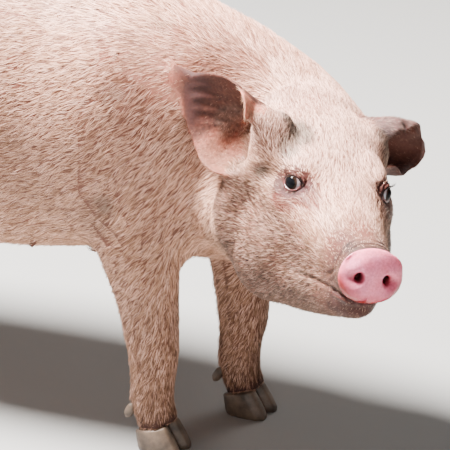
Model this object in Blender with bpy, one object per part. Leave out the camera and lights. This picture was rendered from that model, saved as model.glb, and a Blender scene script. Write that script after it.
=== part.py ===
"""A young domestic pig of nearly fifty kilos, standing with its head low and turned to its right.

The flesh is modelled whole and then parted. Lofts and ellipsoids give the big forms, a voxel
remesh melts them into one surface, and thin cuts divide that into head, neck, trunk and limbs.
Ears, eyes, snout disc, claws and tail are solids of their own.

Metres. +X points from rump to chest, +Y to the pig's left, +Z up, and the floor is at zero.
Everything is placed from the midline between the legs, and moved at the end so that the origin
is the middle of the whole pig's box.
"""

import math

import bmesh
import bpy
import numpy as np
from mathutils import Matrix, Vector

GAP = 0.0003  # the thin cut between neighbouring solids
BODY_TRIANGLES = 3900
COARSER = 0.018  # how much more the rest of the body is thinned out than the head
SHORTEST_EDGE = 0.003  # along the rim of a cut

# Trunk, from rump to shoulder: place along the body, top, bottom, half width, squareness.
TRUNK_ROWS = (
    (-0.432, 0.415, 0.330, 0.030, 2.0),
    (-0.418, 0.446, 0.296, 0.070, 2.1),
    (-0.375, 0.480, 0.256, 0.104, 2.2),
    (-0.300, 0.507, 0.220, 0.124, 2.3),
    (-0.200, 0.522, 0.194, 0.134, 2.3),
    (-0.080, 0.526, 0.181, 0.140, 2.3),
    (0.040, 0.516, 0.186, 0.134, 2.3),
    (0.130, 0.504, 0.198, 0.125, 2.2),
    (0.200, 0.486, 0.210, 0.115, 2.2),
    (0.260, 0.458, 0.228, 0.098, 2.1),
    (0.290, 0.426, 0.252, 0.076, 2.0),
)

# Rounded masses on both sides of the trunk: middle, radii, and forward lean in degrees.
TRUNK_MASSES = (
    ((0.150, 0.066, 0.350), (0.100, 0.064, 0.130), 14),  # shoulder
    ((0.225, 0.048, 0.285), (0.056, 0.052, 0.072), 0),  # point of the shoulder
    ((-0.310, 0.056, 0.345), (0.110, 0.078, 0.125), -8),  # ham
)
BRISKET = ((0.215, 0, 0.262), (0.075, 0.060, 0.046))

# Head frame: its origin is the middle of the snout disc, its X runs forward along the nose.
SNOUT_PLACE = Vector((0.522, -0.190, 0.288))
HEAD_YAW, HEAD_PITCH, HEAD_ROLL = -46.0, 3.0, -13.0
HEAD = (
    Matrix.Translation(SNOUT_PLACE)
    @ Matrix.Rotation(math.radians(HEAD_YAW), 4, "Z")
    @ Matrix.Rotation(math.radians(HEAD_PITCH), 4, "Y")
    @ Matrix.Rotation(math.radians(HEAD_ROLL), 4, "X")
)
# Skull and face, from the snout back to the poll: place, top, bottom, half width, squareness.
FACE_ROWS = (
    (0.012, 0.0250, -0.0255, 0.0295, 2.2),
    (-0.026, 0.0280, -0.0320, 0.0305, 2.2),
    (-0.050, 0.0310, -0.0400, 0.0345, 2.3),
    (-0.080, 0.0365, -0.0480, 0.0430, 2.3),
    (-0.110, 0.0465, -0.0560, 0.0525, 2.3),
    (-0.140, 0.0615, -0.0620, 0.0595, 2.3),
    (-0.170, 0.0775, -0.0680, 0.0665, 2.3),
    (-0.205, 0.0900, -0.0720, 0.0720, 2.3),
    (-0.245, 0.0930, -0.0740, 0.0750, 2.1),
)
# Lower jaw from chin to gullet: place, middle height, half height, half width.
JAW_ROWS = (
    (-0.008, -0.0370, 0.0060, 0.0120),
    (-0.018, -0.0370, 0.0150, 0.0205),
    (-0.045, -0.0380, 0.0230, 0.0300),
    (-0.080, -0.0440, 0.0300, 0.0430),
    (-0.115, -0.0500, 0.0360, 0.0550),
    (-0.150, -0.0540, 0.0410, 0.0640),
    (-0.190, -0.0540, 0.0460, 0.0710),
    (-0.235, -0.0480, 0.0500, 0.0730),
)

# Rounded masses on both sides of the head, in its frame.
HEAD_MASSES = (
    ((-0.175, 0.036, -0.036), (0.075, 0.044, 0.062), 0),  # cheek
    ((-0.148, 0.034, 0.044), (0.040, 0.022, 0.020), 28),  # brow
    ((-0.170, 0.042, 0.016), (0.060, 0.029, 0.026), 0),  # cheekbone
    ((-0.212, 0.042, 0.052), (0.036, 0.034, 0.030), 0),  # ear root
)

NECK_REACH = 0.10  # how far the neck's curve leans along each end's own direction
NECK_LEAVES = Vector((1, 0, -0.28))  # the way it leaves the chest
NECK_ROOT = Vector((0.170, 0.0, 0.352))
NECK_END = Vector((-0.235, 0.0, 0.006))  # in the head's frame
NAPE_PLACE, NAPE_NORMAL = Vector((-0.244, 0.0, 0.0)), (1.0, 0.25, 0.25)  # head from neck
WITHERS_PLACE, WITHERS_NORMAL = (0.235, 0.0, 0.350), (1.0, -0.25, 0.0)  # neck from trunk
NECK_ROWS = (  # share of the way from chest to poll, rise, drop, half width, squareness
    (0.00, 0.133, 0.142, 0.119, 2.2),
    (0.30, 0.125, 0.136, 0.118, 2.2),
    (0.60, 0.108, 0.126, 0.109, 2.2),
    (0.85, 0.096, 0.110, 0.096, 2.1),
    (1.00, 0.092, 0.094, 0.083, 2.1),
)

# Each limb down to its foot: forward of the hoof, out from the midline, height, then its half
# depth along the body and its half width across.
FORE_ROWS = (
    (-0.030, 0.052, 0.360, 0.082, 0.040),
    (-0.018, 0.068, 0.300, 0.070, 0.042),
    (-0.010, 0.076, 0.250, 0.0560, 0.040),
    (-0.006, 0.073, 0.200, 0.0440, 0.0355),
    (-0.003, 0.067, 0.155, 0.0335, 0.0300),
    (0.000, 0.064, 0.108, 0.0300, 0.0280),
    (-0.003, 0.062, 0.080, 0.0245, 0.0235),
    (-0.006, 0.062, 0.055, 0.0235, 0.0240),
    (-0.002, 0.062, 0.038, 0.0240, 0.0250),
    (0.004, 0.062, 0.024, 0.0210, 0.0225),
)
HIND_ROWS = (
    (0.020, 0.050, 0.370, 0.105, 0.052),
    (0.034, 0.070, 0.300, 0.090, 0.052),
    (0.024, 0.077, 0.250, 0.068, 0.045),
    (-0.004, 0.072, 0.205, 0.0460, 0.0340),
    (-0.026, 0.066, 0.168, 0.0330, 0.0265),
    (-0.028, 0.064, 0.135, 0.0270, 0.0240),
    (-0.018, 0.062, 0.090, 0.0235, 0.0225),
    (-0.006, 0.062, 0.050, 0.0235, 0.0240),
    (0.004, 0.062, 0.024, 0.0210, 0.0225),
)
# Where each hoof stands along the body; the left foreleg is a short step ahead.
STANCE = {
    "fore_right": (0.208, -1),
    "fore_left": (0.244, 1),
    "hind_right": (-0.300, -1),
    "hind_left": (-0.345, 1),
}
FOOT_OUT = 0.062  # hoof centres from the midline
# How the cut that takes a leg off the trunk runs: forward of the hoof from and to, then out and
# up where it starts between the legs, and out and up where it leaves the flank.
LEG_CUTS = {
    "fore": (-0.105, 0.062, 0.028, 0.192, 0.200, 0.395),
    "hind": (-0.095, 0.135, 0.026, 0.205, 0.200, 0.425),
}
CARPUS_CUT, HOCK_CUT, ANKLE_CUT = 0.128, 0.170, 0.062
CORONET_HEIGHT = 0.027
CORONET_SLOPE = math.radians(14)  # the claws' tops fall towards the heel

CLAW_SPREAD = 0.0235  # between the middles of a hoof's two claws
TOE_AHEAD, TOE_HEIGHT, TOE_LEAN = 0.001, 0.032, -14
TOE_SIZE = (0.0178, 0.0108, 0.0180)
# One claw from sole to coronet: height as a share, middle ahead, half length, half width.
CLAW_ROWS = (
    (0.00, 0.0085, 0.0238, 0.0096),
    (0.16, 0.0080, 0.0244, 0.0107),
    (0.55, 0.0040, 0.0216, 0.0112),
    (1.00, -0.0008, 0.0180, 0.0104),
)
DEWCLAW_PLACE = Vector((-0.0255, 0.0125, 0.043))  # behind, beside and above the hoof's middle
DEWCLAW_SIZE = (0.0060, 0.0056, 0.0122)
DEWCLAW_LEAN = 32

EYE_RADIUS = 0.0120
EYE_PLACE = Vector((-0.1360, 0.0420, 0.0370))  # the left eye's centre, in the head's frame
EYE_TURN, EYE_TILT = 52.0, 6.0  # degrees out from the nose and up
LID_THICKNESS = 0.0030
EYE_OPENING = (0.0100, 0.0112, 0.0068)  # half sizes: through the lids, along them, between them

DISC_HALF_WIDTH, DISC_HALF_HEIGHT = 0.0315, 0.0270
DISC_LEAN = -0.10  # the disc's top lies back by this share of its height
DISC_ROWS = ((-0.013, 0.88), (-0.010, 0.97), (-0.005, 1.0), (-0.0015, 0.97), (0.0, 0.88))
NOSTRIL_PLACE = Vector((0.0010, 0.0128, 0.0005))
NOSTRIL_SIZE = (0.0085, 0.0042, 0.0052)

EAR_LENGTH, EAR_WIDTH, EAR_THICKNESS = 0.106, 0.148, 0.0040
EAR_CELLS = (11, 10)  # along its width and its length
EAR_SUNK = 0.16  # the share of its length that starts inside the head
EAR_OPENS = 0.75  # the share by which its curl has opened to that of its middle
EAR_GUTTER = 0.25  # how far its root's middle lies back, as a share of its breadth
# Each ear: its side; its root, the way it points and the way its hollow faces in the head's
# frame; how far its tip bends towards the hollow; its curl at root and middle, in degrees.
EARS = {
    "ear_right": (
        -1,
        Vector((-0.190, -0.0675, 0.056)),
        Vector((-0.290, -0.935, 0.200)),
        Vector((0.915, -0.330, -0.220)),
        -0.62,
        330,
        45,
    ),
    "ear_left": (
        1,
        Vector((-0.220, 0.052, 0.054)),
        Vector((-0.778, 0.615, -0.129)),
        Vector((0.613, 0.788, 0.059)),
        0.30,
        330,
        155,
    ),
}

TAIL_ROOT = Vector((-0.400, 0.0, 0.436))
TAIL_RUN, TAIL_PITCH = 0.050, 0.040  # how far back it reaches at its root, and as it curls
TAIL_TURN, TAIL_CURL = 1.05, 0.0260  # turns, and the radius of the curl
TAIL_THICK, TAIL_THIN = 0.0115, 0.0042
TAIL_STEPS, TAIL_SIDES = 26, 7

FLESH_PINK = (0.80, 0.58, 0.50)
EAR_GREY = (0.52, 0.42, 0.38)
NOSE_PINK = (0.82, 0.42, 0.42)
HORN_BROWN = (0.36, 0.27, 0.21)
EYE_DARK = (0.03, 0.025, 0.03)


def clear_scene():
    for obj in list(bpy.data.objects):
        bpy.data.objects.remove(obj, do_unlink=True)


def make_material(name, colour, roughness):
    material = bpy.data.materials.new(name)
    material.use_nodes = True
    shader = material.node_tree.nodes["Principled BSDF"]
    shader.inputs["Base Color"].default_value = (*colour, 1.0)
    shader.inputs["Roughness"].default_value = roughness
    shader.inputs["Metallic"].default_value = 0.0
    return material


def link_mesh(name, bm):
    """A new object that holds the bmesh, with its faces pointing out."""
    bmesh.ops.recalc_face_normals(bm, faces=bm.faces)
    mesh = bpy.data.meshes.new(name)
    bm.to_mesh(mesh)
    bm.free()
    obj = bpy.data.objects.new(name, mesh)
    bpy.context.scene.collection.objects.link(obj)
    return obj


def apply_modifiers(obj):
    """Gives the object its evaluated mesh, and takes its modifiers off."""
    bpy.context.view_layer.update()
    graph = bpy.context.evaluated_depsgraph_get()
    mesh = bpy.data.meshes.new_from_object(obj.evaluated_get(graph))
    obj.modifiers.clear()
    obj.data = mesh
    return obj


def remove(*objects):
    for obj in objects:
        bpy.data.objects.remove(obj, do_unlink=True)


def spline_rows(rows, steps):
    """The rows, with steps rows for each one given, along a Catmull-Rom spline through them."""
    table = np.array(rows, float)
    padded = np.vstack((2 * table[0] - table[1], table, 2 * table[-1] - table[-2]))
    found = []
    for before, start, end, after in zip(padded, padded[1:], padded[2:], padded[3:]):
        for t in np.arange(steps) / steps:
            line = 2 * start + (end - before) * t
            curve = (2 * before - 5 * start + 4 * end - after) * t**2
            curve += (3 * start - before - 3 * end + after) * t**3
            found.append(0.5 * (line + curve))
    found.append(table[-1])
    return found


def signed_power(value, power):
    return math.copysign(abs(value) ** power, value)


def make_ring(middle, across, up, half_width, rise, drop, squareness=2.0, sides=28):
    """A closed section: half_width to each side, rise above the middle and drop below it."""
    ring = []
    for side in range(sides):
        angle = 2 * math.pi * side / sides
        reach = half_width * signed_power(math.cos(angle), 2 / squareness)
        height = signed_power(math.sin(angle), 2 / squareness)
        height *= rise if height > 0 else drop
        ring.append(middle + across * reach + up * height)
    return ring


def loft(name, rings, frame=Matrix.Identity(4)):
    """A closed body through the rings, with flat ends, placed by frame."""
    bm = bmesh.new()
    loops = []
    for ring in rings:
        corners = [bm.verts.new(frame @ point) for point in ring]
        pairs = zip(corners, corners[1:] + corners[:1])
        loops.append([bm.edges.new(pair) for pair in pairs])
    for first, second in zip(loops, loops[1:]):
        bmesh.ops.bridge_loops(bm, edges=first + second)
    bmesh.ops.holes_fill(bm, edges=bm.edges, sides=0)
    return link_mesh(name, bm)


def make_ellipsoid(middle, radii, frame=Matrix.Identity(4), tilt=0.0, detail=3, name="form"):
    """An ellipsoid. tilt leans its top forward, in degrees."""
    place = (
        frame
        @ Matrix.Translation(Vector(middle))
        @ Matrix.Rotation(math.radians(tilt), 4, "Y")
        @ Matrix.Diagonal((*radii, 1.0))
    )
    bm = bmesh.new()
    bmesh.ops.create_icosphere(bm, subdivisions=detail, radius=1.0, matrix=place)
    return link_mesh(name, bm)


def make_pairs(masses, frame=Matrix.Identity(4), detail=3):
    """Each ellipsoid on the left and on the right."""
    found = []
    for (x, y, z), radii, tilt in masses:
        for side in (1, -1):
            found.append(make_ellipsoid((x, side * y, z), radii, frame, tilt, detail))
    return found


def melt(name, forms, voxel, passes):
    """Joins the forms into one closed surface, and smooths it."""
    bm = bmesh.new()
    for form in forms:
        bm.from_mesh(form.data)
    remove(*forms)
    whole = link_mesh(name, bm)
    remesh = whole.modifiers.new("remesh", "REMESH")
    remesh.mode = "VOXEL"
    remesh.voxel_size = voxel
    smooth = whole.modifiers.new("smooth", "SMOOTH")
    smooth.factor = 0.5
    smooth.iterations = passes
    return apply_modifiers(whole)


def thin_out(obj, triangles):
    """Brings the dense body down to about this many triangles, and keeps most on its head."""
    bm = bmesh.new()
    bm.from_mesh(obj.data)
    bmesh.ops.triangulate(bm, faces=bm.faces)
    bm.to_mesh(obj.data)
    bm.free()
    group = obj.vertex_groups.new(name="coarser")
    to_head = HEAD.inverted()
    for vert in obj.data.vertices:
        on_head = (to_head @ vert.co).x > NAPE_PLACE.x
        group.add([vert.index], 0.5 if on_head else 1.0, "REPLACE")
    decimate = obj.modifiers.new("decimate", "DECIMATE")
    decimate.ratio = min(1.0, triangles / len(obj.data.polygons))
    decimate.vertex_group = group.name
    decimate.vertex_group_factor = COARSER
    return apply_modifiers(obj)


def duplicate(obj, name):
    twin = bpy.data.objects.new(name, obj.data.copy())
    bpy.context.scene.collection.objects.link(twin)
    return twin


def combine(obj, other, operation):
    """The object after a Boolean with the other, which is kept."""
    boolean = obj.modifiers.new("boolean", "BOOLEAN")
    boolean.operation = operation
    boolean.object = other
    return apply_modifiers(obj)


def grown(obj, distance):
    """A copy of the object with its surface moved out."""
    copy = duplicate(obj, obj.name + "_grown")
    displace = copy.modifiers.new("displace", "DISPLACE")
    displace.strength = distance
    displace.mid_level = 0.0
    return apply_modifiers(copy)


def carve(obj, neighbour, gap=GAP):
    """Takes the neighbour's space, and a thin gap round it, out of the object."""
    cutter = grown(neighbour, gap)
    combine(obj, cutter, "DIFFERENCE")
    remove(cutter)
    return obj


def keep_largest(obj):
    """Drops all but the biggest of the object's separate shells."""
    bm = bmesh.new()
    bm.from_mesh(obj.data)
    unseen = set(bm.verts)
    shells = []
    while unseen:
        shell, edge = set(), [unseen.pop()]
        while edge:
            vert = edge.pop()
            shell.add(vert)
            beside = {link.other_vert(vert) for link in vert.link_edges} & unseen
            unseen -= beside
            edge.extend(beside)
        shells.append(shell)
    biggest = max(shells, key=len)
    spare = [vert for shell in shells if shell is not biggest for vert in shell]
    bmesh.ops.delete(bm, geom=spare, context="VERTS")
    bm.to_mesh(obj.data)
    bm.free()
    return obj


def keep_side(obj, point, normal):
    """Cuts the object by a plane and keeps what lies on the normal's side, closed."""
    bm = bmesh.new()
    bm.from_mesh(obj.data)
    cut = bmesh.ops.bisect_plane(
        bm,
        geom=bm.verts[:] + bm.edges[:] + bm.faces[:],
        plane_co=point,
        plane_no=normal,
        clear_inner=True,
    )
    rim = [part for part in cut["geom_cut"] if isinstance(part, bmesh.types.BMVert)]
    bmesh.ops.remove_doubles(bm, verts=rim, dist=SHORTEST_EDGE)
    edges = [edge for edge in bm.edges if edge.is_boundary]
    bmesh.ops.triangle_fill(bm, use_beauty=True, edges=edges, normal=-normal)
    bmesh.ops.recalc_face_normals(bm, faces=bm.faces)
    bm.to_mesh(obj.data)
    bm.free()
    return obj


def part_off(obj, name, point, normal):
    """Parts the object by a plane: the piece on the normal's side gets the new name."""
    normal = Vector(normal).normalized()
    point = Vector(point)
    piece = duplicate(obj, name)
    keep_side(piece, point + normal * GAP / 2, normal)
    keep_side(obj, point - normal * GAP / 2, -normal)
    return piece


def make_trunk():
    rings = []
    for x, top, bottom, half_width, squareness in spline_rows(TRUNK_ROWS, 4):
        middle = Vector((x, 0, 0.5 * (top + bottom)))
        half = 0.5 * (top - bottom)
        across, up = Vector((0, 1, 0)), Vector((0, 0, 1))
        rings.append(make_ring(middle, across, up, half_width, half, half, squareness))
    return [loft("trunk", rings), make_ellipsoid(*BRISKET)] + make_pairs(TRUNK_MASSES)


def make_neck():
    start, end = NECK_ROOT, HEAD @ NECK_END
    leave = NECK_LEAVES.normalized() * NECK_REACH
    arrive = HEAD.to_3x3() @ Vector((1, 0, 0)) * NECK_REACH
    head_across = HEAD.to_3x3() @ Vector((0, 1, 0))
    rings = []
    for share, rise, drop, half_width, squareness in spline_rows(NECK_ROWS, 4):
        middle = (
            start * (1 - share) ** 3
            + 3 * (start + leave) * share * (1 - share) ** 2
            + 3 * (end - arrive) * share**2 * (1 - share)
            + end * share**3
        )
        ahead = leave.lerp(arrive, share).normalized()
        across = Vector((0, 1, 0)).lerp(head_across, share)
        across = (across - ahead * across.dot(ahead)).normalized()
        up = ahead.cross(across)
        rings.append(make_ring(middle, across, up, half_width, rise, drop, squareness))
    return loft("neck", rings)


def make_head():
    """Skull, muzzle, cheeks and lower jaw."""
    across, up = Vector((0, 1, 0)), Vector((0, 0, 1))
    face = []
    for x, top, bottom, half_width, squareness in spline_rows(FACE_ROWS, 4):
        middle = Vector((x, 0, 0.5 * (top + bottom)))
        half = 0.5 * (top - bottom)
        face.append(make_ring(middle, across, up, half_width, half, half, squareness))
    jaw = []
    for x, height, half_height, half_width in spline_rows(JAW_ROWS, 4):
        middle = Vector((x, 0, height))
        jaw.append(make_ring(middle, across, up, half_width, half_height, half_height))
    return [loft("face", face, HEAD), loft("jaw", jaw, HEAD)] + make_pairs(HEAD_MASSES, HEAD)


def make_limb(rows, foot_x, side):
    rings = []
    across, ahead = Vector((0, 1, 0)), Vector((1, 0, 0))
    for x, out, height, half_depth, half_width in spline_rows(rows, 3):
        middle = Vector((foot_x + x, side * out, height))
        rings.append(make_ring(middle, across, ahead, half_width, half_depth, half_depth))
    return loft("limb", rings)


def make_toes(foot_x, side):
    """Two rounded digits under each pastern, where the claws grow from."""
    middle = Vector((foot_x + TOE_AHEAD, side * FOOT_OUT, TOE_HEIGHT))
    apart = Vector((0, 0.5 * CLAW_SPREAD, 0))
    return [
        make_ellipsoid(middle + toe * apart, TOE_SIZE, tilt=TOE_LEAN, detail=2) for toe in (1, -1)
    ]


def eye_frame(side):
    """The eye's own frame, whose X points out through the pupil."""
    middle = Vector((EYE_PLACE.x, side * EYE_PLACE.y, EYE_PLACE.z))
    return (
        HEAD
        @ Matrix.Translation(middle)
        @ Matrix.Rotation(math.radians(side * EYE_TURN), 4, "Z")
        @ Matrix.Rotation(math.radians(-EYE_TILT), 4, "Y")
    )


def make_body():
    """Everything of flesh but the ears, the snout disc and the tail, as one surface."""
    limbs, lower_limbs = [], []
    for name, (foot_x, side) in STANCE.items():
        rows = FORE_ROWS if name.startswith("fore") else HIND_ROWS
        limbs.append(make_limb(rows, foot_x, side))
        lower_limbs.append(make_limb(rows[3:], foot_x, side))
    torso = melt("torso", make_trunk() + [make_neck()] + limbs, voxel=0.006, passes=26)
    head = melt("head", make_head(), voxel=0.003, passes=24)
    body = melt("body", [torso, head] + lower_limbs, voxel=0.0035, passes=16)
    fine = [body]
    for foot_x, side in STANCE.values():
        fine += make_toes(foot_x, side)
    for side in (1, -1):
        lid = EYE_RADIUS + LID_THICKNESS
        fine.append(make_ellipsoid((0, 0, 0), (lid, lid, 0.9 * lid), eye_frame(side)))
    return melt("body", fine, voxel=0.003, passes=3)


def ear_breadth(share):
    """The ear's width at a share of its length, as a part of the greatest."""
    return max(0.055, (1 - share**2.2) ** 0.8 * (1.06 + 0.72 * share - 1.55 * share**2))


def make_ear(name, body):
    """A cupped leaf: a grid curled round its length, more so at its root, and thickened."""
    side, root, along, facing, bend, root_curl, middle_curl = EARS[name]
    along = along.normalized()
    facing = (facing - along * facing.dot(along)).normalized()
    width = along.cross(facing) * side
    bm = bmesh.new()
    bmesh.ops.create_grid(bm, x_segments=EAR_CELLS[0], y_segments=EAR_CELLS[1], size=1.0)
    for vert in bm.verts:
        across, share = vert.co.x, 0.5 + 0.5 * vert.co.y
        breadth = EAR_WIDTH * ear_breadth(share)
        curl = root_curl + (middle_curl - root_curl) * min(1.0, share / EAR_OPENS)
        radius = breadth / math.radians(curl)
        angle = across * math.radians(curl) / 2
        lift = radius * (1 - math.cos(angle)) - EAR_GUTTER * breadth * (1 - share)
        vert.co = (
            root
            + along * (EAR_LENGTH * (share - EAR_SUNK * (1 - share)))
            + width * (radius * math.sin(angle))
            + facing * (lift + bend * EAR_LENGTH * share**2)
        )
    bmesh.ops.transform(bm, matrix=HEAD, verts=bm.verts)
    ear = link_mesh(name, bm)
    solidify = ear.modifiers.new("thickness", "SOLIDIFY")
    solidify.thickness = EAR_THICKNESS
    solidify.offset = 0.0
    apply_modifiers(ear)
    carve(ear, body)
    return keep_largest(ear)


def make_eye(name, side, head):
    """A ball in its socket, with the lids open in front of it."""
    bm = bmesh.new()
    bmesh.ops.create_uvsphere(
        bm, u_segments=12, v_segments=8, radius=EYE_RADIUS, matrix=eye_frame(side)
    )
    eye = link_mesh(name, bm)
    opening = make_ellipsoid((EYE_RADIUS, 0, 0), EYE_OPENING, eye_frame(side), detail=2)
    carve(head, eye)
    combine(head, opening, "DIFFERENCE")
    remove(opening)
    return eye


def make_disc(head):
    """The nose's round flat end, with a blind nostril on each side."""
    across, up = Vector((0, 1, 0)), Vector((DISC_LEAN, 0, 1)).normalized()
    rings = []
    for x, share in DISC_ROWS:
        half_width, half_height = DISC_HALF_WIDTH * share, DISC_HALF_HEIGHT * share
        middle = Vector((x, 0, 0))
        rings.append(
            make_ring(middle, across, up, half_width, half_height, half_height, 2.2, sides=20)
        )
    disc = loft("snout_disc", rings, HEAD)
    back = HEAD @ Vector((DISC_ROWS[0][0] - GAP, 0, 0))
    keep_side(head, back, HEAD.to_3x3() @ -across.cross(up))
    for nostril in make_pairs([(NOSTRIL_PLACE, NOSTRIL_SIZE, 0)], HEAD, detail=2):
        combine(disc, nostril, "DIFFERENCE")
        remove(nostril)
    return disc


def make_claw(name, foot_x, side, toe):
    """One horn capsule, flat underneath, with a top that falls towards the heel."""
    middle_y = side * FOOT_OUT + toe * 0.5 * CLAW_SPREAD
    rings = []
    for share, ahead, half_length, half_width in CLAW_ROWS:
        ring = make_ring(
            Vector((foot_x + ahead, middle_y, 0)),
            Vector((0, 1, 0)),
            Vector((1, 0, 0)),
            half_width,
            half_length,
            half_length,
            2.3,
            sides=10,
        )
        for point in ring:
            top = CORONET_HEIGHT + math.tan(CORONET_SLOPE) * (point.x - foot_x)
            point.z = share * (top - GAP / 2)
        rings.append(ring)
    return loft(name, rings)


def make_dewclaw(name, foot_x, side, toe, foot):
    """A small horn cone behind the pastern."""
    x, out, height = DEWCLAW_PLACE
    middle = Vector((foot_x + x, side * FOOT_OUT + toe * out, height))
    dewclaw = make_ellipsoid(middle, DEWCLAW_SIZE, tilt=DEWCLAW_LEAN, detail=1, name=name)
    carve(foot, dewclaw)
    return dewclaw


def take_off_leg(trunk, name, foot_x, side):
    """The leg with its shoulder or ham, by a slanting cut under the flank."""
    back, front, inner, inner_height, outer, outer_height = LEG_CUTS[name.split("_")[0]]
    corners = ((inner, -0.01), (inner, inner_height), (outer, outer_height), (outer, -0.01))
    rings = []
    for x in (foot_x + back, foot_x + front):
        rings.append([Vector((x, side * y, z)) for y, z in corners])
    block = loft("block", rings)
    leg = duplicate(trunk, name)
    combine(leg, block, "INTERSECT")
    carve(trunk, block)
    remove(block)
    keep_largest(leg)
    return leg


def part_leg(leg, name, foot_x):
    """Divides a leg at its knee or hock and at its fetlock, and cuts its foot for the claws."""
    knee = CARPUS_CUT if name.startswith("fore") else HOCK_CUT
    upward = (0, 0, 1)
    leg.name = name + "_foot"
    lower = part_off(leg, name + "_lower", (0, 0, ANKLE_CUT), upward)
    upper = part_off(lower, name + "_upper", (0, 0, knee), upward)
    normal = Vector((-math.sin(CORONET_SLOPE), 0, math.cos(CORONET_SLOPE)))
    keep_side(leg, Vector((foot_x, 0, CORONET_HEIGHT + GAP / 2)), normal)
    return [upper, lower, leg]


def tail_point(share):
    """The middle of the tail at a share of its length, and its radius there."""
    angle = 2 * math.pi * TAIL_TURN * share**1.6
    back = TAIL_RUN * (1 - (1 - share) ** 3) + TAIL_PITCH * share
    curl = TAIL_CURL * (1 - 0.3 * share)
    point = TAIL_ROOT + Vector((-back, curl * math.sin(angle), curl * (math.cos(angle) - 1)))
    return point, TAIL_THICK + (TAIL_THIN - TAIL_THICK) * share**0.8


def make_tail(body):
    """A tail with one loose curl."""
    points, radii = zip(*(tail_point(step / TAIL_STEPS) for step in range(TAIL_STEPS + 1)))
    rings = []
    up = Vector((0, 0, 1))
    for step, (point, radius) in enumerate(zip(points, radii)):
        ahead = points[min(TAIL_STEPS, step + 1)] - points[max(0, step - 1)]
        across = ahead.cross(up).normalized()
        up = across.cross(ahead).normalized()
        rings.append(make_ring(point, across, up, radius, radius, radius, sides=TAIL_SIDES))
    tail = loft("tail", rings)
    carve(tail, body)
    return keep_largest(tail)


def settle(objects):
    """Moves everything so that the origin is the middle of the pig's box, on the floor."""
    corners = np.array([vert.co for obj in objects for vert in obj.data.vertices])
    middle = (corners.min(axis=0) + corners.max(axis=0)) / 2
    shift = Matrix.Translation((-middle[0], -middle[1], 0.0))
    for obj in objects:
        obj.data.transform(shift)


def paint(material, objects):
    """Gives each object its material, and smooth faces with sharp rims at the cuts."""
    for obj in objects:
        obj.data.materials.clear()
        obj.data.materials.append(material)
        obj.data.shade_smooth()
        obj.data.set_sharp_from_angle(angle=math.radians(40))


def main():
    clear_scene()
    body = thin_out(make_body(), BODY_TRIANGLES)
    body.name = "trunk"
    ears = [make_ear(name, body) for name in EARS]
    flesh = [body, make_tail(body)]
    horn = []
    for name, (foot_x, side) in STANCE.items():
        leg = take_off_leg(body, name, foot_x, side)
        flesh += part_leg(leg, name, foot_x)
        for place, toe in (("left", 1), ("right", -1)):
            horn.append(make_claw(f"{name}_claw_{place}", foot_x, side, toe))
            horn.append(make_dewclaw(f"{name}_dewclaw_{place}", foot_x, side, toe, leg))
    head = part_off(body, "head", HEAD @ NAPE_PLACE, HEAD.to_3x3() @ Vector(NAPE_NORMAL))
    flesh += [head, part_off(body, "neck", WITHERS_PLACE, WITHERS_NORMAL)]
    eyes = [make_eye("eye_right", -1, head), make_eye("eye_left", 1, head)]
    disc = make_disc(head)
    paint(make_material("skin", FLESH_PINK, 0.6), flesh)
    paint(make_material("ear_skin", EAR_GREY, 0.65), ears)
    paint(make_material("snout_skin", NOSE_PINK, 0.35), [disc])
    paint(make_material("horn", HORN_BROWN, 0.55), horn)
    paint(make_material("eyeball", EYE_DARK, 0.1), eyes)
    settle(flesh + ears + eyes + horn + [disc])


main()
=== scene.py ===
import math
import time

import bmesh
import bpy
import numpy as np
from mathutils import Matrix, Vector
from mathutils.bvhtree import BVHTree
from mathutils.kdtree import KDTree


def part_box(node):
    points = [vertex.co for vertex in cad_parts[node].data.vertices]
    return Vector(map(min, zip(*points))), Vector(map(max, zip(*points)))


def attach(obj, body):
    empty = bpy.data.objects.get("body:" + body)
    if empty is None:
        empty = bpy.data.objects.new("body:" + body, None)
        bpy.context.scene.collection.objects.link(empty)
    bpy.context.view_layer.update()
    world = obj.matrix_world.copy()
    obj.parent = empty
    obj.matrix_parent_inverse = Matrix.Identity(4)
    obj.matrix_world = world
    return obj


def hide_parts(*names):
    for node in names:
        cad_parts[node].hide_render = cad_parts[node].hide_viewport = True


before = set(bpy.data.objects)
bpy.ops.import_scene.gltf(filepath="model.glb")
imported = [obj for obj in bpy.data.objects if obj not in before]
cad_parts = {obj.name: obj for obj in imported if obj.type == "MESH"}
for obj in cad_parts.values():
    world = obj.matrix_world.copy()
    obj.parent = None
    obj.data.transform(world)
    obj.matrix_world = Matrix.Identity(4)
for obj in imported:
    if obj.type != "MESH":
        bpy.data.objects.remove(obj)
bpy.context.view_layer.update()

# A young pink pig with a thin pale coat, standing with its head low and turned to its right.
# The solids of flesh become one skin, and thin tufts of bristle grow out of it.

started = time.time()
rng = np.random.default_rng(11)

legNames = ["fore_left", "fore_right", "hind_left", "hind_right"]
fleshNames = ["trunk", "neck", "head", "tail", "snout_disc", "ear_left", "ear_right"]
fleshNames += [leg + part for leg in legNames for part in ("_upper", "_lower", "_foot")]
sides = {"left": 1, "right": -1}


def report(stage):
    print(f"{time.time() - started:6.1f} s  {stage}")


def boxMiddle(node):
    low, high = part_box(node)
    return (low + high) / 2


# ---- places worked out from the solids

headSize = {"eyesBehindNose": 0.1295, "eyesAboveNose": 0.037, "noseHalfDepth": 0.0065}


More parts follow.
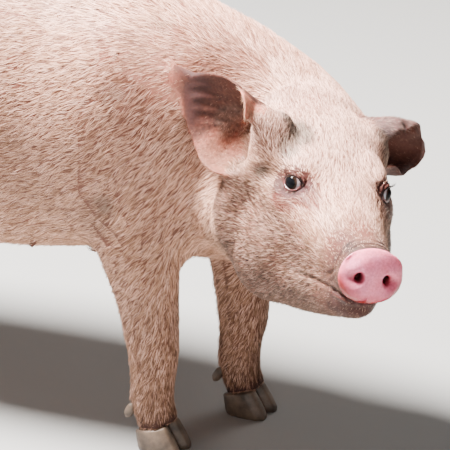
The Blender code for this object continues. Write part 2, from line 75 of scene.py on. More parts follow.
def findHead():
    # the head's own frame: its origin on the front of the nose, X ahead, Y to its left, Z up
    left, right, nose = (boxMiddle(node) for node in ("eye_left", "eye_right", "snout_disc"))
    across = (left - right).normalized()
    slope = nose - (left + right) / 2
    ahead = slope * headSize["eyesBehindNose"] - across.cross(slope) * headSize["eyesAboveNose"]
    ahead = (ahead - across * ahead.dot(across)).normalized()
    turn = Matrix((ahead, across, ahead.cross(across))).transposed().to_4x4()
    return Matrix.Translation(nose + ahead * headSize["noseHalfDepth"]) @ turn


headFrame = findHead()
headTurn = np.array(headFrame.to_3x3())
headOrigin = np.array(headFrame.translation)


def toHead(points):
    return (points - headOrigin) @ headTurn


def fromHead(points):
    return np.asarray(points, float) @ headTurn.T + headOrigin


eyeMiddles = {side: np.array(boxMiddle("eye_" + side)) for side in sides}


def aroundEyes(points, radius):
    far = [np.linalg.norm(points - middle, axis=1) for middle in eyeMiddles.values()]
    return np.min(far, axis=0) < radius


# ---- small tools for working on a mesh as arrays

def readMesh(mesh):
    points = np.empty(len(mesh.vertices) * 3)
    mesh.vertices.foreach_get("co", points)
    edges = np.empty(len(mesh.edges) * 2, np.int64)
    mesh.edges.foreach_get("vertices", edges)
    return points.reshape(-1, 3), edges.reshape(-1, 2)


def writePoints(mesh, points):
    mesh.vertices.foreach_set("co", np.ascontiguousarray(points, np.float32).ravel())
    mesh.update()


def readNormals(mesh):
    normals = np.empty(len(mesh.vertices) * 3, np.float32)
    mesh.vertex_normals.foreach_get("vector", normals)
    return normals.reshape(-1, 3).astype(float)


def readTriangles(mesh):
    mesh.calc_loop_triangles()
    corners = np.empty(len(mesh.loop_triangles) * 3, np.int32)
    mesh.loop_triangles.foreach_get("vertices", corners)
    loops = np.empty(len(mesh.loop_triangles) * 3, np.int32)
    mesh.loop_triangles.foreach_get("loops", loops)
    return corners.reshape(-1, 3), loops.reshape(-1, 3)


def unit(vectors):
    return vectors / np.maximum(np.linalg.norm(vectors, axis=-1, keepdims=True), 1e-9)


def ease(values, low, high):
    # 0 below low, 1 above high, and smooth between; low may be the larger of the two
    share = np.clip((values - low) / (high - low), 0, 1)
    return share * share * (3 - 2 * share)


def spread(values, edges, rounds, keep=0.5):
    # averages each vertex's values with its neighbours'
    total = len(values)
    beside = np.maximum(np.bincount(edges.ravel(), minlength=total), 1)[:, None]
    for _ in range(rounds):
        mean = np.empty_like(values)
        for part in range(values.shape[1]):
            column = values[:, part]
            mean[:, part] = np.bincount(edges[:, 0], column[edges[:, 1]], total)
            mean[:, part] += np.bincount(edges[:, 1], column[edges[:, 0]], total)
        values = keep * values + (1 - keep) * mean / beside
    return values


def cutOut(near, total):
    # the vertices that some edges use, and every vertex's number among them
    kept = np.unique(near)
    index = np.full(total, -1)
    index[kept] = np.arange(len(kept))
    return kept, index


def relax(points, edges, passes, step=4):
    # smooths the surface, each vertex for its own number of passes
    for done in range(0, int(passes.max()), step):
        moving = passes > done
        near = edges[moving[edges].any(axis=1)]
        kept, index = cutOut(near, len(points))
        local = spread(points[kept], index[near], step)
        points[moving] = local[index[moving]]
    return points


def applyModifiers(obj):
    bpy.context.view_layer.update()
    graph = bpy.context.evaluated_depsgraph_get()
    mesh = bpy.data.meshes.new_from_object(obj.evaluated_get(graph))
    old = obj.data
    obj.modifiers.clear()
    obj.data = mesh
    bpy.data.meshes.remove(old)
    return obj


def addObject(name, mesh):
    obj = bpy.data.objects.new(name, mesh)
    bpy.context.scene.collection.objects.link(obj)
    return obj


def objectFrom(name, bm):
    mesh = bpy.data.meshes.new(name)
    bm.to_mesh(mesh)
    bm.free()
    mesh.shade_smooth()
    return addObject(name, mesh)


def mergedCopy(node):
    bm = bmesh.new()
    bm.from_mesh(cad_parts[node].data)
    bmesh.ops.remove_doubles(bm, verts=bm.verts, dist=1e-5)
    return bm


def addTo(whole, bm):
    mesh = bpy.data.meshes.new("part")
    bm.to_mesh(mesh)
    bm.free()
    whole.from_mesh(mesh)
    bpy.data.meshes.remove(mesh)


def melt(name, whole, voxel):
    # one closed surface from shapes that overlap
    obj = objectFrom(name, whole)
    remesh = obj.modifiers.new("remesh", "REMESH")
    remesh.mode = "VOXEL"
    remesh.voxel_size = voxel
    return applyModifiers(obj)


# ---- the skin's shape

skinForm = {
    "swell": 0.00035,  # closes the thin cuts between the solids
    "voxel": 0.0022,
    "triangles": 190000,
    "plugReach": 1.12,  # how far round a plug the skin goes with the plug's node
    # smoothing passes over each region, and how far the skin lies inside the coat
    "passes": {"trunk": 96, "neck": 84, "upper": 44, "lower": 24, "foot": 12, "head": 20,
               "snout_disc": 4, "ear": 6, "tail": 8, "eye": 12},
    "inset": {"trunk": 0.003, "neck": 0.003, "upper": 0.0024, "lower": 0.0016, "foot": 0.001,
              "head": 0.0016, "snout_disc": 0.0004, "ear": 0.0003, "tail": 0.0008, "eye": 0.0014},
}


def regionOf(node):
    # the trunk, neck, head, snout disc, tail, ear, eye, or length of leg that a node belongs to
    if node in skinForm["passes"]:
        return node
    first, last = node.split("_")[0], node.split("_")[-1]
    return first if first in ("ear", "eye") else last


formNodes = fleshNames + ["eye_left", "eye_right"]
regions = sorted(skinForm["passes"])
nodeTree = None
nodeOfFace = []


def growNodeTree():
    # a tree over every solid of flesh, to ask which one a point lies on
    global nodeTree
    points, faces = [], []
    for number, node in enumerate(formNodes):
        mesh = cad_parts[node].data
        start = len(points)
        points += [vert.co.copy() for vert in mesh.vertices]
        for polygon in mesh.polygons:
            faces.append([start + corner for corner in polygon.vertices])
            nodeOfFace.append(number)
    nodeTree = BVHTree.FromPolygons(points, faces)


def nodesAt(points):
    found = [nodeTree.find_nearest(point)[2] for point in points.tolist()]
    owners = np.array(nodeOfFace)[found]
    local = toHead(points)
    for node, spots in plugs.items():
        for *middle, radius in spots:
            far = np.linalg.norm(local - np.array(middle), axis=1)
            owners[far < radius * skinForm["plugReach"]] = formNodes.index(node)
    return owners


def numbersOf(*nodes):
    return [formNodes.index(node) for node in nodes]


def regionValues(nodeNumbers, table):
    return np.array([table[regionOf(node)] for node in formNodes], float)[nodeNumbers]


# flesh added between solids, by the node it belongs with: x, y and z in the head's frame, and radius
plugs = {
    "head": [
        # between the rolled root of the right ear and the temple
        (-0.18, -0.06, 0.069, 0.0115), (-0.174, -0.066, 0.074, 0.009), (-0.175, -0.059, 0.08, 0.011),
        (-0.183, -0.064, 0.086, 0.009), (-0.1826, -0.0673, 0.0504, 0.013),
        (-0.1702, -0.0616, 0.0454, 0.013), (-0.1844, -0.0677, 0.0363, 0.013),
        (-0.1864, -0.0683, 0.0592, 0.013), (-0.1722, -0.0626, 0.0342, 0.013),
        (-0.1811, -0.0686, 0.0631, 0.016), (-0.1786, -0.0642, 0.0584, 0.016),
        (-0.1791, -0.0535, 0.0658, 0.014), (-0.1812, -0.068, 0.049, 0.016),
        (-0.1701, -0.0621, 0.0474, 0.016), (-0.1856, -0.0508, 0.0802, 0.012),
        (-0.1874, -0.0693, 0.0515, 0.012), (-0.1762, -0.0783, 0.0728, 0.013),
        (-0.172, -0.0719, 0.0659, 0.014), (-0.1705, -0.0682, 0.0568, 0.015),
        (-0.1727, -0.0671, 0.0458, 0.015),
        # the full jowl
        (-0.1975, -0.0693, 0.0051, 0.026), (-0.2025, -0.0728, -0.0099, 0.026),
        (-0.202, -0.0738, -0.0246, 0.026), (-0.1991, -0.0737, -0.0382, 0.024),
        (-0.1887, -0.0688, 0.019, 0.02),
    ],
    # the bend between the jowl and the neck
    "neck": [
        (-0.2358, -0.0733, -0.0229, 0.025), (-0.2386, -0.0722, -0.0388, 0.025),
        (-0.2398, -0.0696, -0.054, 0.024), (-0.2398, -0.0727, -0.0115, 0.02),
        (-0.2223, -0.0719, -0.0175, 0.022), (-0.2201, -0.072, -0.0294, 0.024),
        (-0.2136, -0.0731, -0.0418, 0.024), (-0.2132, -0.0725, -0.0544, 0.022),
        (-0.2574, -0.077, -0.0371, 0.025), (-0.2631, -0.0732, -0.0573, 0.025),
    ],
}


def meltFlesh():
    # one closed surface from all the solids of flesh, with the eye sockets filled for now
    whole = bmesh.new()
    for spots in plugs.values():
        for *middle, radius in spots:
            place = Matrix.Translation(Vector(fromHead(middle)))
            bmesh.ops.create_icosphere(whole, subdivisions=3, radius=radius, matrix=place)
    for node in formNodes:
        bm = mergedCopy(node)
        bm.normal_update()
        for vert in bm.verts:
            vert.co += vert.normal * skinForm["swell"]
        addTo(whole, bm)
    return melt("skin", whole, skinForm["voxel"])


def refine(obj, wanted):
    # cuts the quads whose corners are all wanted into four
    bm = bmesh.new()
    bm.from_mesh(obj.data)
    bm.verts.ensure_lookup_table()
    flags = wanted.tolist()
    edges = [edge for edge in bm.edges if flags[edge.verts[0].index] and flags[edge.verts[1].index]]
    bmesh.ops.subdivide_edges(bm, edges=edges, cuts=1, use_grid_fill=True)
    bm.to_mesh(obj.data)
    bm.free()
    obj.data.update()


# where the surface is cut finer: how far back and how wide in the head's frame, and round the eyes
fineForm = {"headBack": -0.262, "headWide": 0.15, "muzzleBack": -0.034, "muzzleWide": 0.055,
            "eyeReach": 0.024, "earPasses": 30, "passes": 3}

growNodeTree()
skin = meltFlesh()
points, edges = readMesh(skin.data)
report(f"melted the flesh into {len(points)} vertices")
nodeNumbers = nodesAt(points)
passes = spread(regionValues(nodeNumbers, skinForm["passes"])[:, None], edges, 6)[:, 0]
points = relax(points, edges, passes)
writePoints(skin.data, points)
report("smoothed the flesh")
headPoints = toHead(points)
onHead = (headPoints[:, 0] > fineForm["headBack"]) & (np.abs(headPoints[:, 1]) < fineForm["headWide"])
onHead &= np.isin(nodeNumbers, numbersOf("head", "snout_disc", "eye_left", "eye_right"))
earNodes = numbersOf("ear_left", "ear_right")
refine(skin, onHead | np.isin(nodeNumbers, earNodes))
points, edges = readMesh(skin.data)
headPoints = toHead(points)
onMuzzle = headPoints[:, 0] > fineForm["muzzleBack"]
onMuzzle &= np.linalg.norm(headPoints[:, 1:], axis=1) < fineForm["muzzleWide"]
refine(skin, aroundEyes(points, fineForm["eyeReach"]) | onMuzzle)
points, edges = readMesh(skin.data)
nodeNumbers = nodesAt(points)
passes = np.where(np.isin(nodeNumbers, earNodes), fineForm["earPasses"], fineForm["passes"])
points = relax(points, edges, passes)
report(f"refined the head, {len(points)} vertices")
inset = spread(regionValues(nodeNumbers, skinForm["inset"])[:, None], edges, 20)
writePoints(skin.data, points)
points -= readNormals(skin.data) * (inset + skinForm["swell"])
writePoints(skin.data, points)
report("set the skin in by the coat's depth")


# ---- folds, lids, nose and mouth

def nearLine(points, line, margin):
    return np.flatnonzero(((points > line.min(0) - margin) & (points < line.max(0) + margin)).all(axis=1))


def surfacePath(points, corners, step=0.0006, margin=0.012):
    # a smooth line through the corners, laid on the surface
    corners = [Vector(corner) for corner in corners]
    padded = [2 * corners[0] - corners[1]] + corners + [2 * corners[-1] - corners[-2]]
    line = []
    for before, start, end, after in zip(padded, padded[1:], padded[2:], padded[3:]):
        count = max(2, int((end - start).length / step))
        for share in np.arange(count) / count:
            line.append(0.5 * (2 * start + (end - before) * share
                               + (2 * before - 5 * start + 4 * end - after) * share**2
                               + (3 * start - before - 3 * end + after) * share**3))
    line = np.array(line + [corners[-1]])
    close = nearLine(points, line, margin)
    if len(close) == 0:
        return line
    found = [points[close[np.argmin(((points[close] - place) ** 2).sum(axis=1))]] for place in line]
    found = np.array(found)
    for _ in range(6):
        found[1:-1] = (found[:-2] + 2 * found[1:-1] + found[2:]) / 4
    return found


def pressFold(points, normals, corners, depth, width, lip=0.35, blunt=0.0):
    # presses a groove along a line, with a low lip on each side; it fades towards its ends
    line = surfacePath(points, corners)
    close = nearLine(points, line, 4 * width)
    nearest = np.full(len(close), 1e9)
    share = np.zeros(len(close))
    for number, place in enumerate(line):
        far = ((points[close] - place) ** 2).sum(axis=1)
        better = far < nearest
        nearest[better] = far[better]
        share[better] = number / max(1, len(line) - 1)
    reach = np.sqrt(nearest) / width
    fade = np.clip(np.sin(math.pi * np.clip(share, 0, 1)) + blunt, 0, 1) ** 0.6
    push = -np.exp(-(reach**2)) + lip * np.exp(-((reach - 1.9) ** 2) * 1.4)
    points[close] += normals[close] * (push * fade * depth)[:, None]


def eyeFrame(side):
    # the eye's own frame: X out through the pupil, Y towards the nose, Z up
    turn = Matrix.Rotation(math.radians(sides[side] * eyeForm["turn"]), 3, "Z")
    turn = headFrame.to_3x3() @ turn @ Matrix.Rotation(math.radians(-eyeForm["tilt"]), 3, "Y")
    out, along, up = (Vector(column) for column in turn.transposed())
    return np.array([out, along * -sides[side], up]).T, eyeMiddles[side]


eyeForm = {
    "radius": 0.0119, "turn": 52.0, "tilt": 6.0,
    "halfLength": 0.01, "upper": 0.0064, "lower": 0.0066,  # the opening between the lids
    "lid": 0.0011, "pocket": 0.0011,
    # creases of the lids: reach, width and depth
    "creasesAbove": [(1.36, 0.07, 0.0011), (1.7, 0.1, 0.001), (2.1, 0.1, 0.0007)],
    "creasesBelow": [(1.42, 0.08, 0.0007), (1.72, 0.1, 0.0009), (2.05, 0.1, 0.0008), (2.4, 0.12, 0.0007)],
}


def openingReach(along, height):
    # 1 on the lids' edge, less inside the opening
    height = height + 0.0002 - along * 0.06
    half = np.where(height > 0, eyeForm["upper"], eyeForm["lower"])
    return (np.abs(along / eyeForm["halfLength"]) ** 2.0 + np.abs(height / half) ** 2.0) ** 0.5


def fromEye(points, side):
    # places in the eye's own frame, and the reach of each from the middle of the opening
    axes, middle = eyeFrame(side)
    spot = (points - middle) @ axes
    return spot, openingReach(spot[:, 1], spot[:, 2])


def shapeEyes(points):
    for side in sides:
        axes, middle = eyeFrame(side)
        close = np.flatnonzero(np.linalg.norm(points - middle, axis=1) < 0.034)
        local = (points[close] - middle) @ axes
        ahead = local[:, 0] > 0
        reach = openingReach(local[:, 1], local[:, 2])
        far = np.linalg.norm(local, axis=1)
        ways = local / far[:, None]
        # the lids hug the ball, thickest at their edge
        lid = eyeForm["radius"] + eyeForm["lid"] + 0.0006 * ease(reach, 1.15, 1.6)
        hug = ease(reach, 2.3, 1.5) * ahead
        far = far + (lid - far) * hug
        angle = np.arctan2(local[:, 2], local[:, 1])
        above, below = ease(local[:, 2], -0.001, 0.004), ease(local[:, 2], 0.001, -0.004)
        creases = [(above, *crease) for crease in eyeForm["creasesAbove"]]
        creases += [(below, *crease) for crease in eyeForm["creasesBelow"]]
        for part, place, width, depth in creases:
            wave = 0.16 * np.sin(3 * angle + place * 5) + 0.05 * np.sin(9 * angle + place * 11)
            far -= depth * part * ahead * np.exp(-(((reach - place + wave) / width) ** 2))
            far += 0.5 * depth * part * ahead * np.exp(-(((reach - place + wave - 0.26) / width) ** 2))
        inside = ease(reach, 1.03, 0.93) * ahead
        far = far + (eyeForm["radius"] - eyeForm["pocket"] - far) * inside
        points[close] = middle + (ways * far[:, None]) @ axes.T
    return points


noseForm = {
    "halfWidth": 0.0312, "halfHeight": 0.0268,
    "swell": 0.0042, "roll": 0.0042, "groove": 0.0019, "lobes": 0.0014, "creases": 0.00022,
    "rim": 0.05, "neck": 0.085,  # shares of the pad's width by which it stands out, and narrows behind
    "nostrilOut": 0.0134, "nostrilUp": -0.0008, "nostrilWide": 0.0034, "nostrilTall": 0.0045,
    "nostrilDeep": 0.0105, "funnel": 0.0042, "ring": 0.001,
}


def shapeNose(points):
    local = toHead(points)
    close = np.flatnonzero((local[:, 0] > -0.03) & (np.linalg.norm(local[:, 1:], axis=1) < 0.046)
                           & (local[:, 2] > -0.03))
    x, y, z = local[close].T
    # a rounded pad, wider below its middle, with a shallow notch under it
    halfWidth = noseForm["halfWidth"] * (1 - 0.34 * ease(z, -0.008, 0.03))
    halfHeight = noseForm["halfHeight"] * (1 - 0.1 * np.exp(-((y / 0.005) ** 2)) * (z < 0))
    reach = (np.abs(y / halfWidth) ** 2.3 + np.abs(z / halfHeight) ** 2.3) ** (1 / 2.3)
    front = ease(x, -0.0135, -0.0085)
    # the pad swells in front, rolls back at its rim, and bulges into two lobes below the nostrils
    swell = noseForm["swell"] * (1 - np.clip(reach, 0, 1) ** 2.4)
    swell = swell - noseForm["roll"] * np.clip(reach, 0, 1.1) ** 7
    groove = np.exp(-((y / 0.003) ** 2)) * ease(z, 0.006, -0.012)
    lobes = np.exp(-(((np.abs(y) - 0.0165) / 0.008) ** 2) - ((z + 0.015) / 0.007) ** 2)
    creases = noseForm["creases"] * np.cos(y * 2 * math.pi / 0.0021)
    creases = creases * np.exp(-((y / 0.009) ** 2)) * ease(z, -0.004, -0.012)
    relief = swell - noseForm["groove"] * groove + noseForm["lobes"] * lobes + creases
    x = x + front * relief * ease(reach, 1.25, 0.9)
    # a rolled rim over a narrow neck behind it
    rim = 1 + noseForm["rim"] * np.exp(-(((x + 0.0062) / 0.0036) ** 2))
    rim = rim - noseForm["neck"] * np.exp(-(((x + 0.0135) / 0.0026) ** 2))
    rim = 1 + (rim - 1) * ease(reach, 0.6, 0.95)
    y, z = y * rim, z * rim
    for side in (-1, 1):
        outward = side * y - noseForm["nostrilOut"]
        across = outward / noseForm["nostrilWide"]
        above = (z - noseForm["nostrilUp"]) / noseForm["nostrilTall"]
        across = across * (1 + 0.16 * above) + 0.22 * above
        mouth = np.sqrt(across**2 + above**2)
        # a soft funnel runs outward and a little down from each hole
        funnelReach = np.sqrt(((outward - 0.004) / 0.0085) ** 2 + ((z + 0.0018) / 0.0056) ** 2)
        funnel = noseForm["funnel"] * np.exp(-(funnelReach**2))
        ring = noseForm["ring"] * np.exp(-(((mouth - 1.65) / 0.45) ** 2)) * ease(outward, 0.002, -0.003)
        hole = noseForm["nostrilDeep"] * ease(mouth, 1.12, 0.62)
        x = x + front * (ring - funnel - hole)
    local[close] = np.stack((x, y, z), axis=1)
    points[close] = fromHead(local[close])
    return points


# Lines of folds, each with its depth, its width and its lip's share. All are made on both sides, and
# those on the head are in its own frame.
headFolds = [
    # mouth: deep under the nose, and fading back along the cheek
    ([(-0.006, 0.0, -0.03), (-0.008, 0.01, -0.0295), (-0.015, 0.019, -0.0275),
      (-0.029, 0.0245, -0.0268)], 0.0028, 0.0024, 0.25),
    ([(-0.025, 0.0235, -0.0268), (-0.045, 0.03, -0.028), (-0.065, 0.0355, -0.03),
      (-0.085, 0.042, -0.0345)], 0.0016, 0.0022, 0.3),
    ([(-0.086, 0.042, -0.035), (-0.093, 0.046, -0.034), (-0.099, 0.05, -0.037)], 0.001, 0.003, 0.3),
    # wrinkles over the muzzle behind the nose
    ([(-0.0215, 0.0, 0.027), (-0.022, 0.012, 0.024), (-0.02, 0.024, 0.014), (-0.018, 0.029, 0.0)],
     0.0011, 0.0014, 0.5),
    ([(-0.03, 0.004, 0.028), (-0.03, 0.016, 0.023), (-0.027, 0.026, 0.012), (-0.025, 0.03, -0.004)],
     0.0008, 0.0013, 0.5),
    ([(-0.027, 0.028, -0.004), (-0.033, 0.03, -0.012), (-0.042, 0.031, -0.018)], 0.001, 0.002, 0.5),
    # from the eye's inner corner down the face
    ([(-0.1195, 0.0385, 0.04), (-0.1095, 0.0345, 0.0365), (-0.0955, 0.029, 0.033)], 0.0007, 0.0016, 0.5),
    ([(-0.115, 0.042, 0.034), (-0.105, 0.037, 0.0305), (-0.093, 0.0325, 0.027)], 0.0006, 0.0016, 0.5),
    ([(-0.124, 0.051, 0.025), (-0.112, 0.046, 0.023), (-0.099, 0.039, 0.024)], 0.0008, 0.0018, 0.5),
    # brow and temple
    ([(-0.156, 0.044, 0.068), (-0.14, 0.038, 0.064), (-0.126, 0.03, 0.057)], 0.001, 0.0046, 0.4),
    ([(-0.156, 0.06, 0.042), (-0.166, 0.064, 0.038), (-0.176, 0.067, 0.033)], 0.001, 0.0036, 0.4),
    # cheek and jowl
    ([(-0.205, 0.076, 0.02), (-0.215, 0.079, -0.01), (-0.22, 0.076, -0.04),
      (-0.215, 0.064, -0.07)], 0.0018, 0.005, 0.35),
]
bodyFolds = [
    # behind the shoulder, and under it to the elbow
    ([(0.167, -0.086, 0.392), (0.16, -0.09, 0.345), (0.158, -0.086, 0.3), (0.16, -0.078, 0.258)],
     0.0022, 0.01, 0.3),
    ([(0.15, -0.08, 0.262), (0.165, -0.078, 0.246), (0.178, -0.074, 0.232)], 0.003, 0.005, 0.3),
    # from the shoulder's point up to the jowl
    ([(0.2, -0.072, 0.262), (0.226, -0.058, 0.268), (0.242, -0.046, 0.262), (0.25, -0.03, 0.24)],
     0.0028, 0.007, 0.3),
    # two folds of the neck behind the ear
    ([(0.292, 0.008, 0.4), (0.3, -0.03, 0.38), (0.29, -0.06, 0.35)], 0.0018, 0.006, 0.35),
    ([(0.262, 0.01, 0.418), (0.262, -0.04, 0.385), (0.255, -0.066, 0.335)], 0.0012, 0.008, 0.3),
]


def mirrored(corners):
    return [(x, -y, z) for x, y, z in corners]


def pressFolds(points, normals):
    for corners, depth, width, lip in headFolds:
        for path in (corners, mirrored(corners)):
            middleLine = abs(corners[0][1]) < 0.006
            pressFold(points, normals, fromHead(path), depth, width, lip, 0.6 if middleLine else 0.0)
    for corners, depth, width, lip in bodyFolds:
        for path in (corners, mirrored(corners)):
            pressFold(points, normals, path, depth, width, lip)


# where each ear is drawn out or in: middle, move and radius
earPulls = {
    "right": [((0.3515, -0.0745, 0.38), (-0.02, -0.01, 0.001), 0.036),
              ((0.24, -0.05, 0.42), (-0.009, 0.001, 0.0085), 0.011)],
    "left": [((0.4185, 0.0653, 0.3011), (0.0, 0.0, 0.016), 0.026),
             ((0.4255, 0.093, 0.3595), (-0.007, -0.0045, -0.008), 0.012),
             ((0.419, 0.12, 0.337), (0.002, 0.0012, 0.0), 0.012),
             ((0.4096, 0.1485, 0.3136), (-0.003, -0.003, 0.0), 0.008),
             ((0.4078, 0.121, 0.304), (0.0052, 0.0026, 0.0008), 0.016),
             ((0.4063, 0.1386, 0.3127), (0.005, 0.0024, 0.0), 0.016),
             ((0.4244, 0.0968, 0.3548), (-0.0014, -0.0018, -0.0025), 0.014),
             ((0.4122, 0.078, 0.3668), (0.0006, -0.0012, -0.0034), 0.018),
             ((0.3972, 0.0587, 0.3722), (0.001, -0.0021, -0.0066), 0.02),
             ((0.4076, 0.1024, 0.2978), (-0.0007, 0.0014, 0.0042), 0.014)],
}
earFacing = {"right": (0.905, -0.41, 0.08), "left": (0.613, 0.788, 0.059)}
# creases between two solids that are drawn smooth: middle in the head's frame, radius, passes
settledSpots = [
    ((-0.2181, -0.0778, -0.0292), 0.05, 400), ((-0.2173, -0.0744, -0.0456), 0.04, 200),
    ((-0.1867, -0.079, -0.006), 0.042, 300), ((-0.168, -0.069, 0.064), 0.034, 500),
    ((-0.17, -0.056, 0.08), 0.024, 400), ((-0.2225, 0.0822, 0.0844), 0.018, 200),
    ((-0.2175, 0.0835, 0.0811), 0.015, 200),
]
# shallow ridges along the hollow of the right ear
earRidges = [
    ([(0.246, -0.053, 0.406), (0.27, -0.0545, 0.408), (0.295, -0.054, 0.406)], 0.0006, 0.0032, 0.6),
    ([(0.25, -0.054, 0.395), (0.276, -0.051, 0.396), (0.301, -0.042, 0.39)], 0.0007, 0.0034, 0.6),
    ([(0.256, -0.055, 0.382), (0.28, -0.049, 0.382), (0.302, -0.038, 0.376)], 0.0006, 0.0034, 0.6),
]


def settle(points, edges, middle, radius, passes):
    # stretches the surface smoothly across a crease, and leaves it alone from the radius on
    far = np.linalg.norm(points - fromHead(middle), axis=1)
    near = edges[(far[edges] < radius).any(axis=1)]
    kept, index = cutOut(near, len(points))
    keep = 1 - 0.5 * ease(far[kept], radius, 0.5 * radius)
    points[kept] = spread(points[kept], index[near], passes, keep[:, None])
    return points


def shapeEars(points, edges):
    onEar = np.isin(nodesAt(points), earNodes).astype(float)
    onEar = spread(onEar[:, None], edges, 30)
    for pulls in earPulls.values():
        for middle, move, radius in pulls:
            far = np.linalg.norm(points - np.array(middle), axis=1) / radius
            points += np.array(move) * (np.exp(-(far**2))[:, None] * onEar)
    for middle, radius, passes in settledSpots:
        points = settle(points, edges, middle, radius, passes)
    return points


# grooves of the legs, from the middle of each foot: the tendon, on both sides, and the cleft of the toes
tendonFolds = {
    "fore": ([(-0.014, 0.024, 0.122), (-0.016, 0.022, 0.095), (-0.014, 0.02, 0.068)], 0.0022, 0.0055, 0.5),
    "hind": ([(-0.012, 0.024, 0.14), (-0.014, 0.022, 0.105), (-0.014, 0.02, 0.068)], 0.0026, 0.006, 0.5),
}
toeFolds = [
    ([(0.026, 0.0, 0.056), (0.03, 0.0, 0.042), (0.034, 0.0, 0.028)], 0.0045, 0.0042, 0.4),
    ([(-0.024, 0.0, 0.058), (-0.024, 0.0, 0.042), (-0.022, 0.0, 0.028)], 0.004, 0.0042, 0.4),
]
# how much each leg swells or narrows: height, reach up and down, share
legSwells = {
    "fore": [(0.028, 0.01, 0.08), (0.148, 0.018, 0.055), (0.108, 0.016, -0.05), (0.066, 0.01, 0.07),
             (0.044, 0.008, -0.06)],
    "hind": [(0.028, 0.01, 0.08), (0.19, 0.02, 0.03), (0.115, 0.024, -0.06), (0.066, 0.01, 0.07),
             (0.044, 0.008, -0.06)],
}
legForm = {"reachX": 0.06, "reachY": 0.04, "top": 0.22, "levels": np.arange(0.03, 0.22, 0.01)}


def shapeLegs(points):
    levels = legForm["levels"]
    for leg in legNames:
        x, y = boxMiddle(leg + "_foot")[:2]
        close = np.flatnonzero((np.abs(points[:, 0] - x) < legForm["reachX"])
                               & (np.abs(points[:, 1] - y) < legForm["reachY"])
                               & (points[:, 2] < legForm["top"]))
        height = points[close, 2]
        swell = sum(size * np.exp(-(((height - middle) / reach) ** 2))
                    for middle, reach, size in legSwells[leg.split("_")[0]])
        # the leg's axis is the middle of its skin at each level
        column = np.array([points[close[np.abs(height - level) < 0.01], :2].mean(axis=0) for level in levels])
        axis = np.stack([np.interp(height, levels, column[:, part]) for part in (0, 1)], axis=1)
        points[close, :2] += (points[close, :2] - axis) * swell[:, None]
    return points


teatForm = {"first": 0.12, "last": -0.27, "pairs": 6, "out": 0.036, "tall": 0.0085, "wide": 0.0042}


def growTeats(points, normals):
    # two rows along the belly
    for x in np.linspace(teatForm["first"], teatForm["last"], teatForm["pairs"]):
        for y in (-teatForm["out"], teatForm["out"]):
            side = np.hypot(points[:, 0] - x, points[:, 1] - y)
            under = (side < 0.02) & (normals[:, 2] < -0.5) & (points[:, 2] > 0.12)
            lift = teatForm["tall"] * np.exp(-((side[under] / teatForm["wide"]) ** 2))
            points[under, 2] -= lift
    return points


def sculpt():
    points, edges = readMesh(skin.data)
    points = shapeEars(points, edges)
    writePoints(skin.data, points)
    normals = readNormals(skin.data)
    for corners, depth, width, lip in earRidges:
        pressFold(points, normals, corners, depth, width, lip)
    pressFolds(points, normals)
    for leg in legNames:
        foot = np.array((*boxMiddle(leg + "_foot")[:2], 0))
        tendon = tendonFolds[leg.split("_")[0]]
        for corners, depth, width, lip in (tendon, (mirrored(tendon[0]), *tendon[1:]), *toeFolds):
            pressFold(points, normals, foot + np.array(corners), depth, width, lip)
    points = shapeLegs(points)
    points = growTeats(points, normals)
    points = shapeNose(points)
    points = shapeEyes(points)
    writePoints(skin.data, points)


sculpt()
report("pressed the folds and shaped the nose and lids")


# how far the thinning reaches over the head, round the eyes and on the muzzle, and where those lie
thinForm = {"head": 0.35, "headBack": -0.26, "headWide": 0.16, "eye": 0.1, "eyeReach": 0.024,
            "muzzle": 0.12, "muzzleBack": -0.034, "muzzleWide": 0.05}


def thinOut(obj, triangles):
    # brings the skin down to its triangles, and keeps most of them on the head
    points = readMesh(obj.data)[0]
    local = toHead(points)
    radial = np.linalg.norm(local[:, 1:], axis=1)
    weight = np.where((local[:, 0] > thinForm["headBack"]) & (radial < thinForm["headWide"]),
                      thinForm["head"], 1.0)
    weight[aroundEyes(points, thinForm["eyeReach"])] = thinForm["eye"]
    weight[(local[:, 0] > thinForm["muzzleBack"]) & (radial < thinForm["muzzleWide"])] = thinForm["muzzle"]
    group = obj.vertex_groups.new(name="coarser")
    for value in np.unique(weight):
        group.add(np.flatnonzero(weight == value).tolist(), float(value), "REPLACE")
    bm = bmesh.new()
    bm.from_mesh(obj.data)
    bmesh.ops.triangulate(bm, faces=bm.faces)
    bm.to_mesh(obj.data)
    bm.free()
    decimate = obj.modifiers.new("thinner", "DECIMATE")
    decimate.ratio = triangles / len(obj.data.polygons)
    decimate.vertex_group = group.name
    decimate.vertex_group_factor = 1.0
    applyModifiers(obj)
    obj.vertex_groups.clear()


thinOut(skin, skinForm["triangles"])
skin.data.shade_smooth()
report(f"thinned the skin to {len(skin.data.polygons)} triangles")
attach(skin, "root")
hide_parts(*fleshNames)


# ---- what every point of the skin knows: its region, its colour and how its coat lies

def blobs(points, spots):
    # how much each point lies in any of the soft-edged round spots
    found = np.zeros(len(points))
    for middle, radii, strength in spots:
        reach = np.linalg.norm((points - np.array(middle)) / np.array(radii), axis=1)
        found = np.maximum(found, strength * ease(reach, 1.25, 0.55))
    return found


def ripple(points, scale, seed):
    # smooth waves in -1 to 1, for drifts that skin and coat share
    waves = np.random.default_rng(seed).normal(size=(7, 3))
    phases = np.random.default_rng(seed + 1).uniform(0, 2 * math.pi, 7)
    return np.sin(points @ (waves.T * scale) + phases).sum(axis=1) / 4.5


def mix(colours, other, share):
    return colours + (np.array(other) - colours) * np.clip(share, 0, 1)[:, None]


def paint(colours, palette, layers):
    # lays one colour over another: the name and the share of each
    for name, share in layers:
        colours = mix(colours, palette[name], share)
    return colours


def wholeHead(share):
    return share["head"] + share["snout_disc"] + share["eye"]


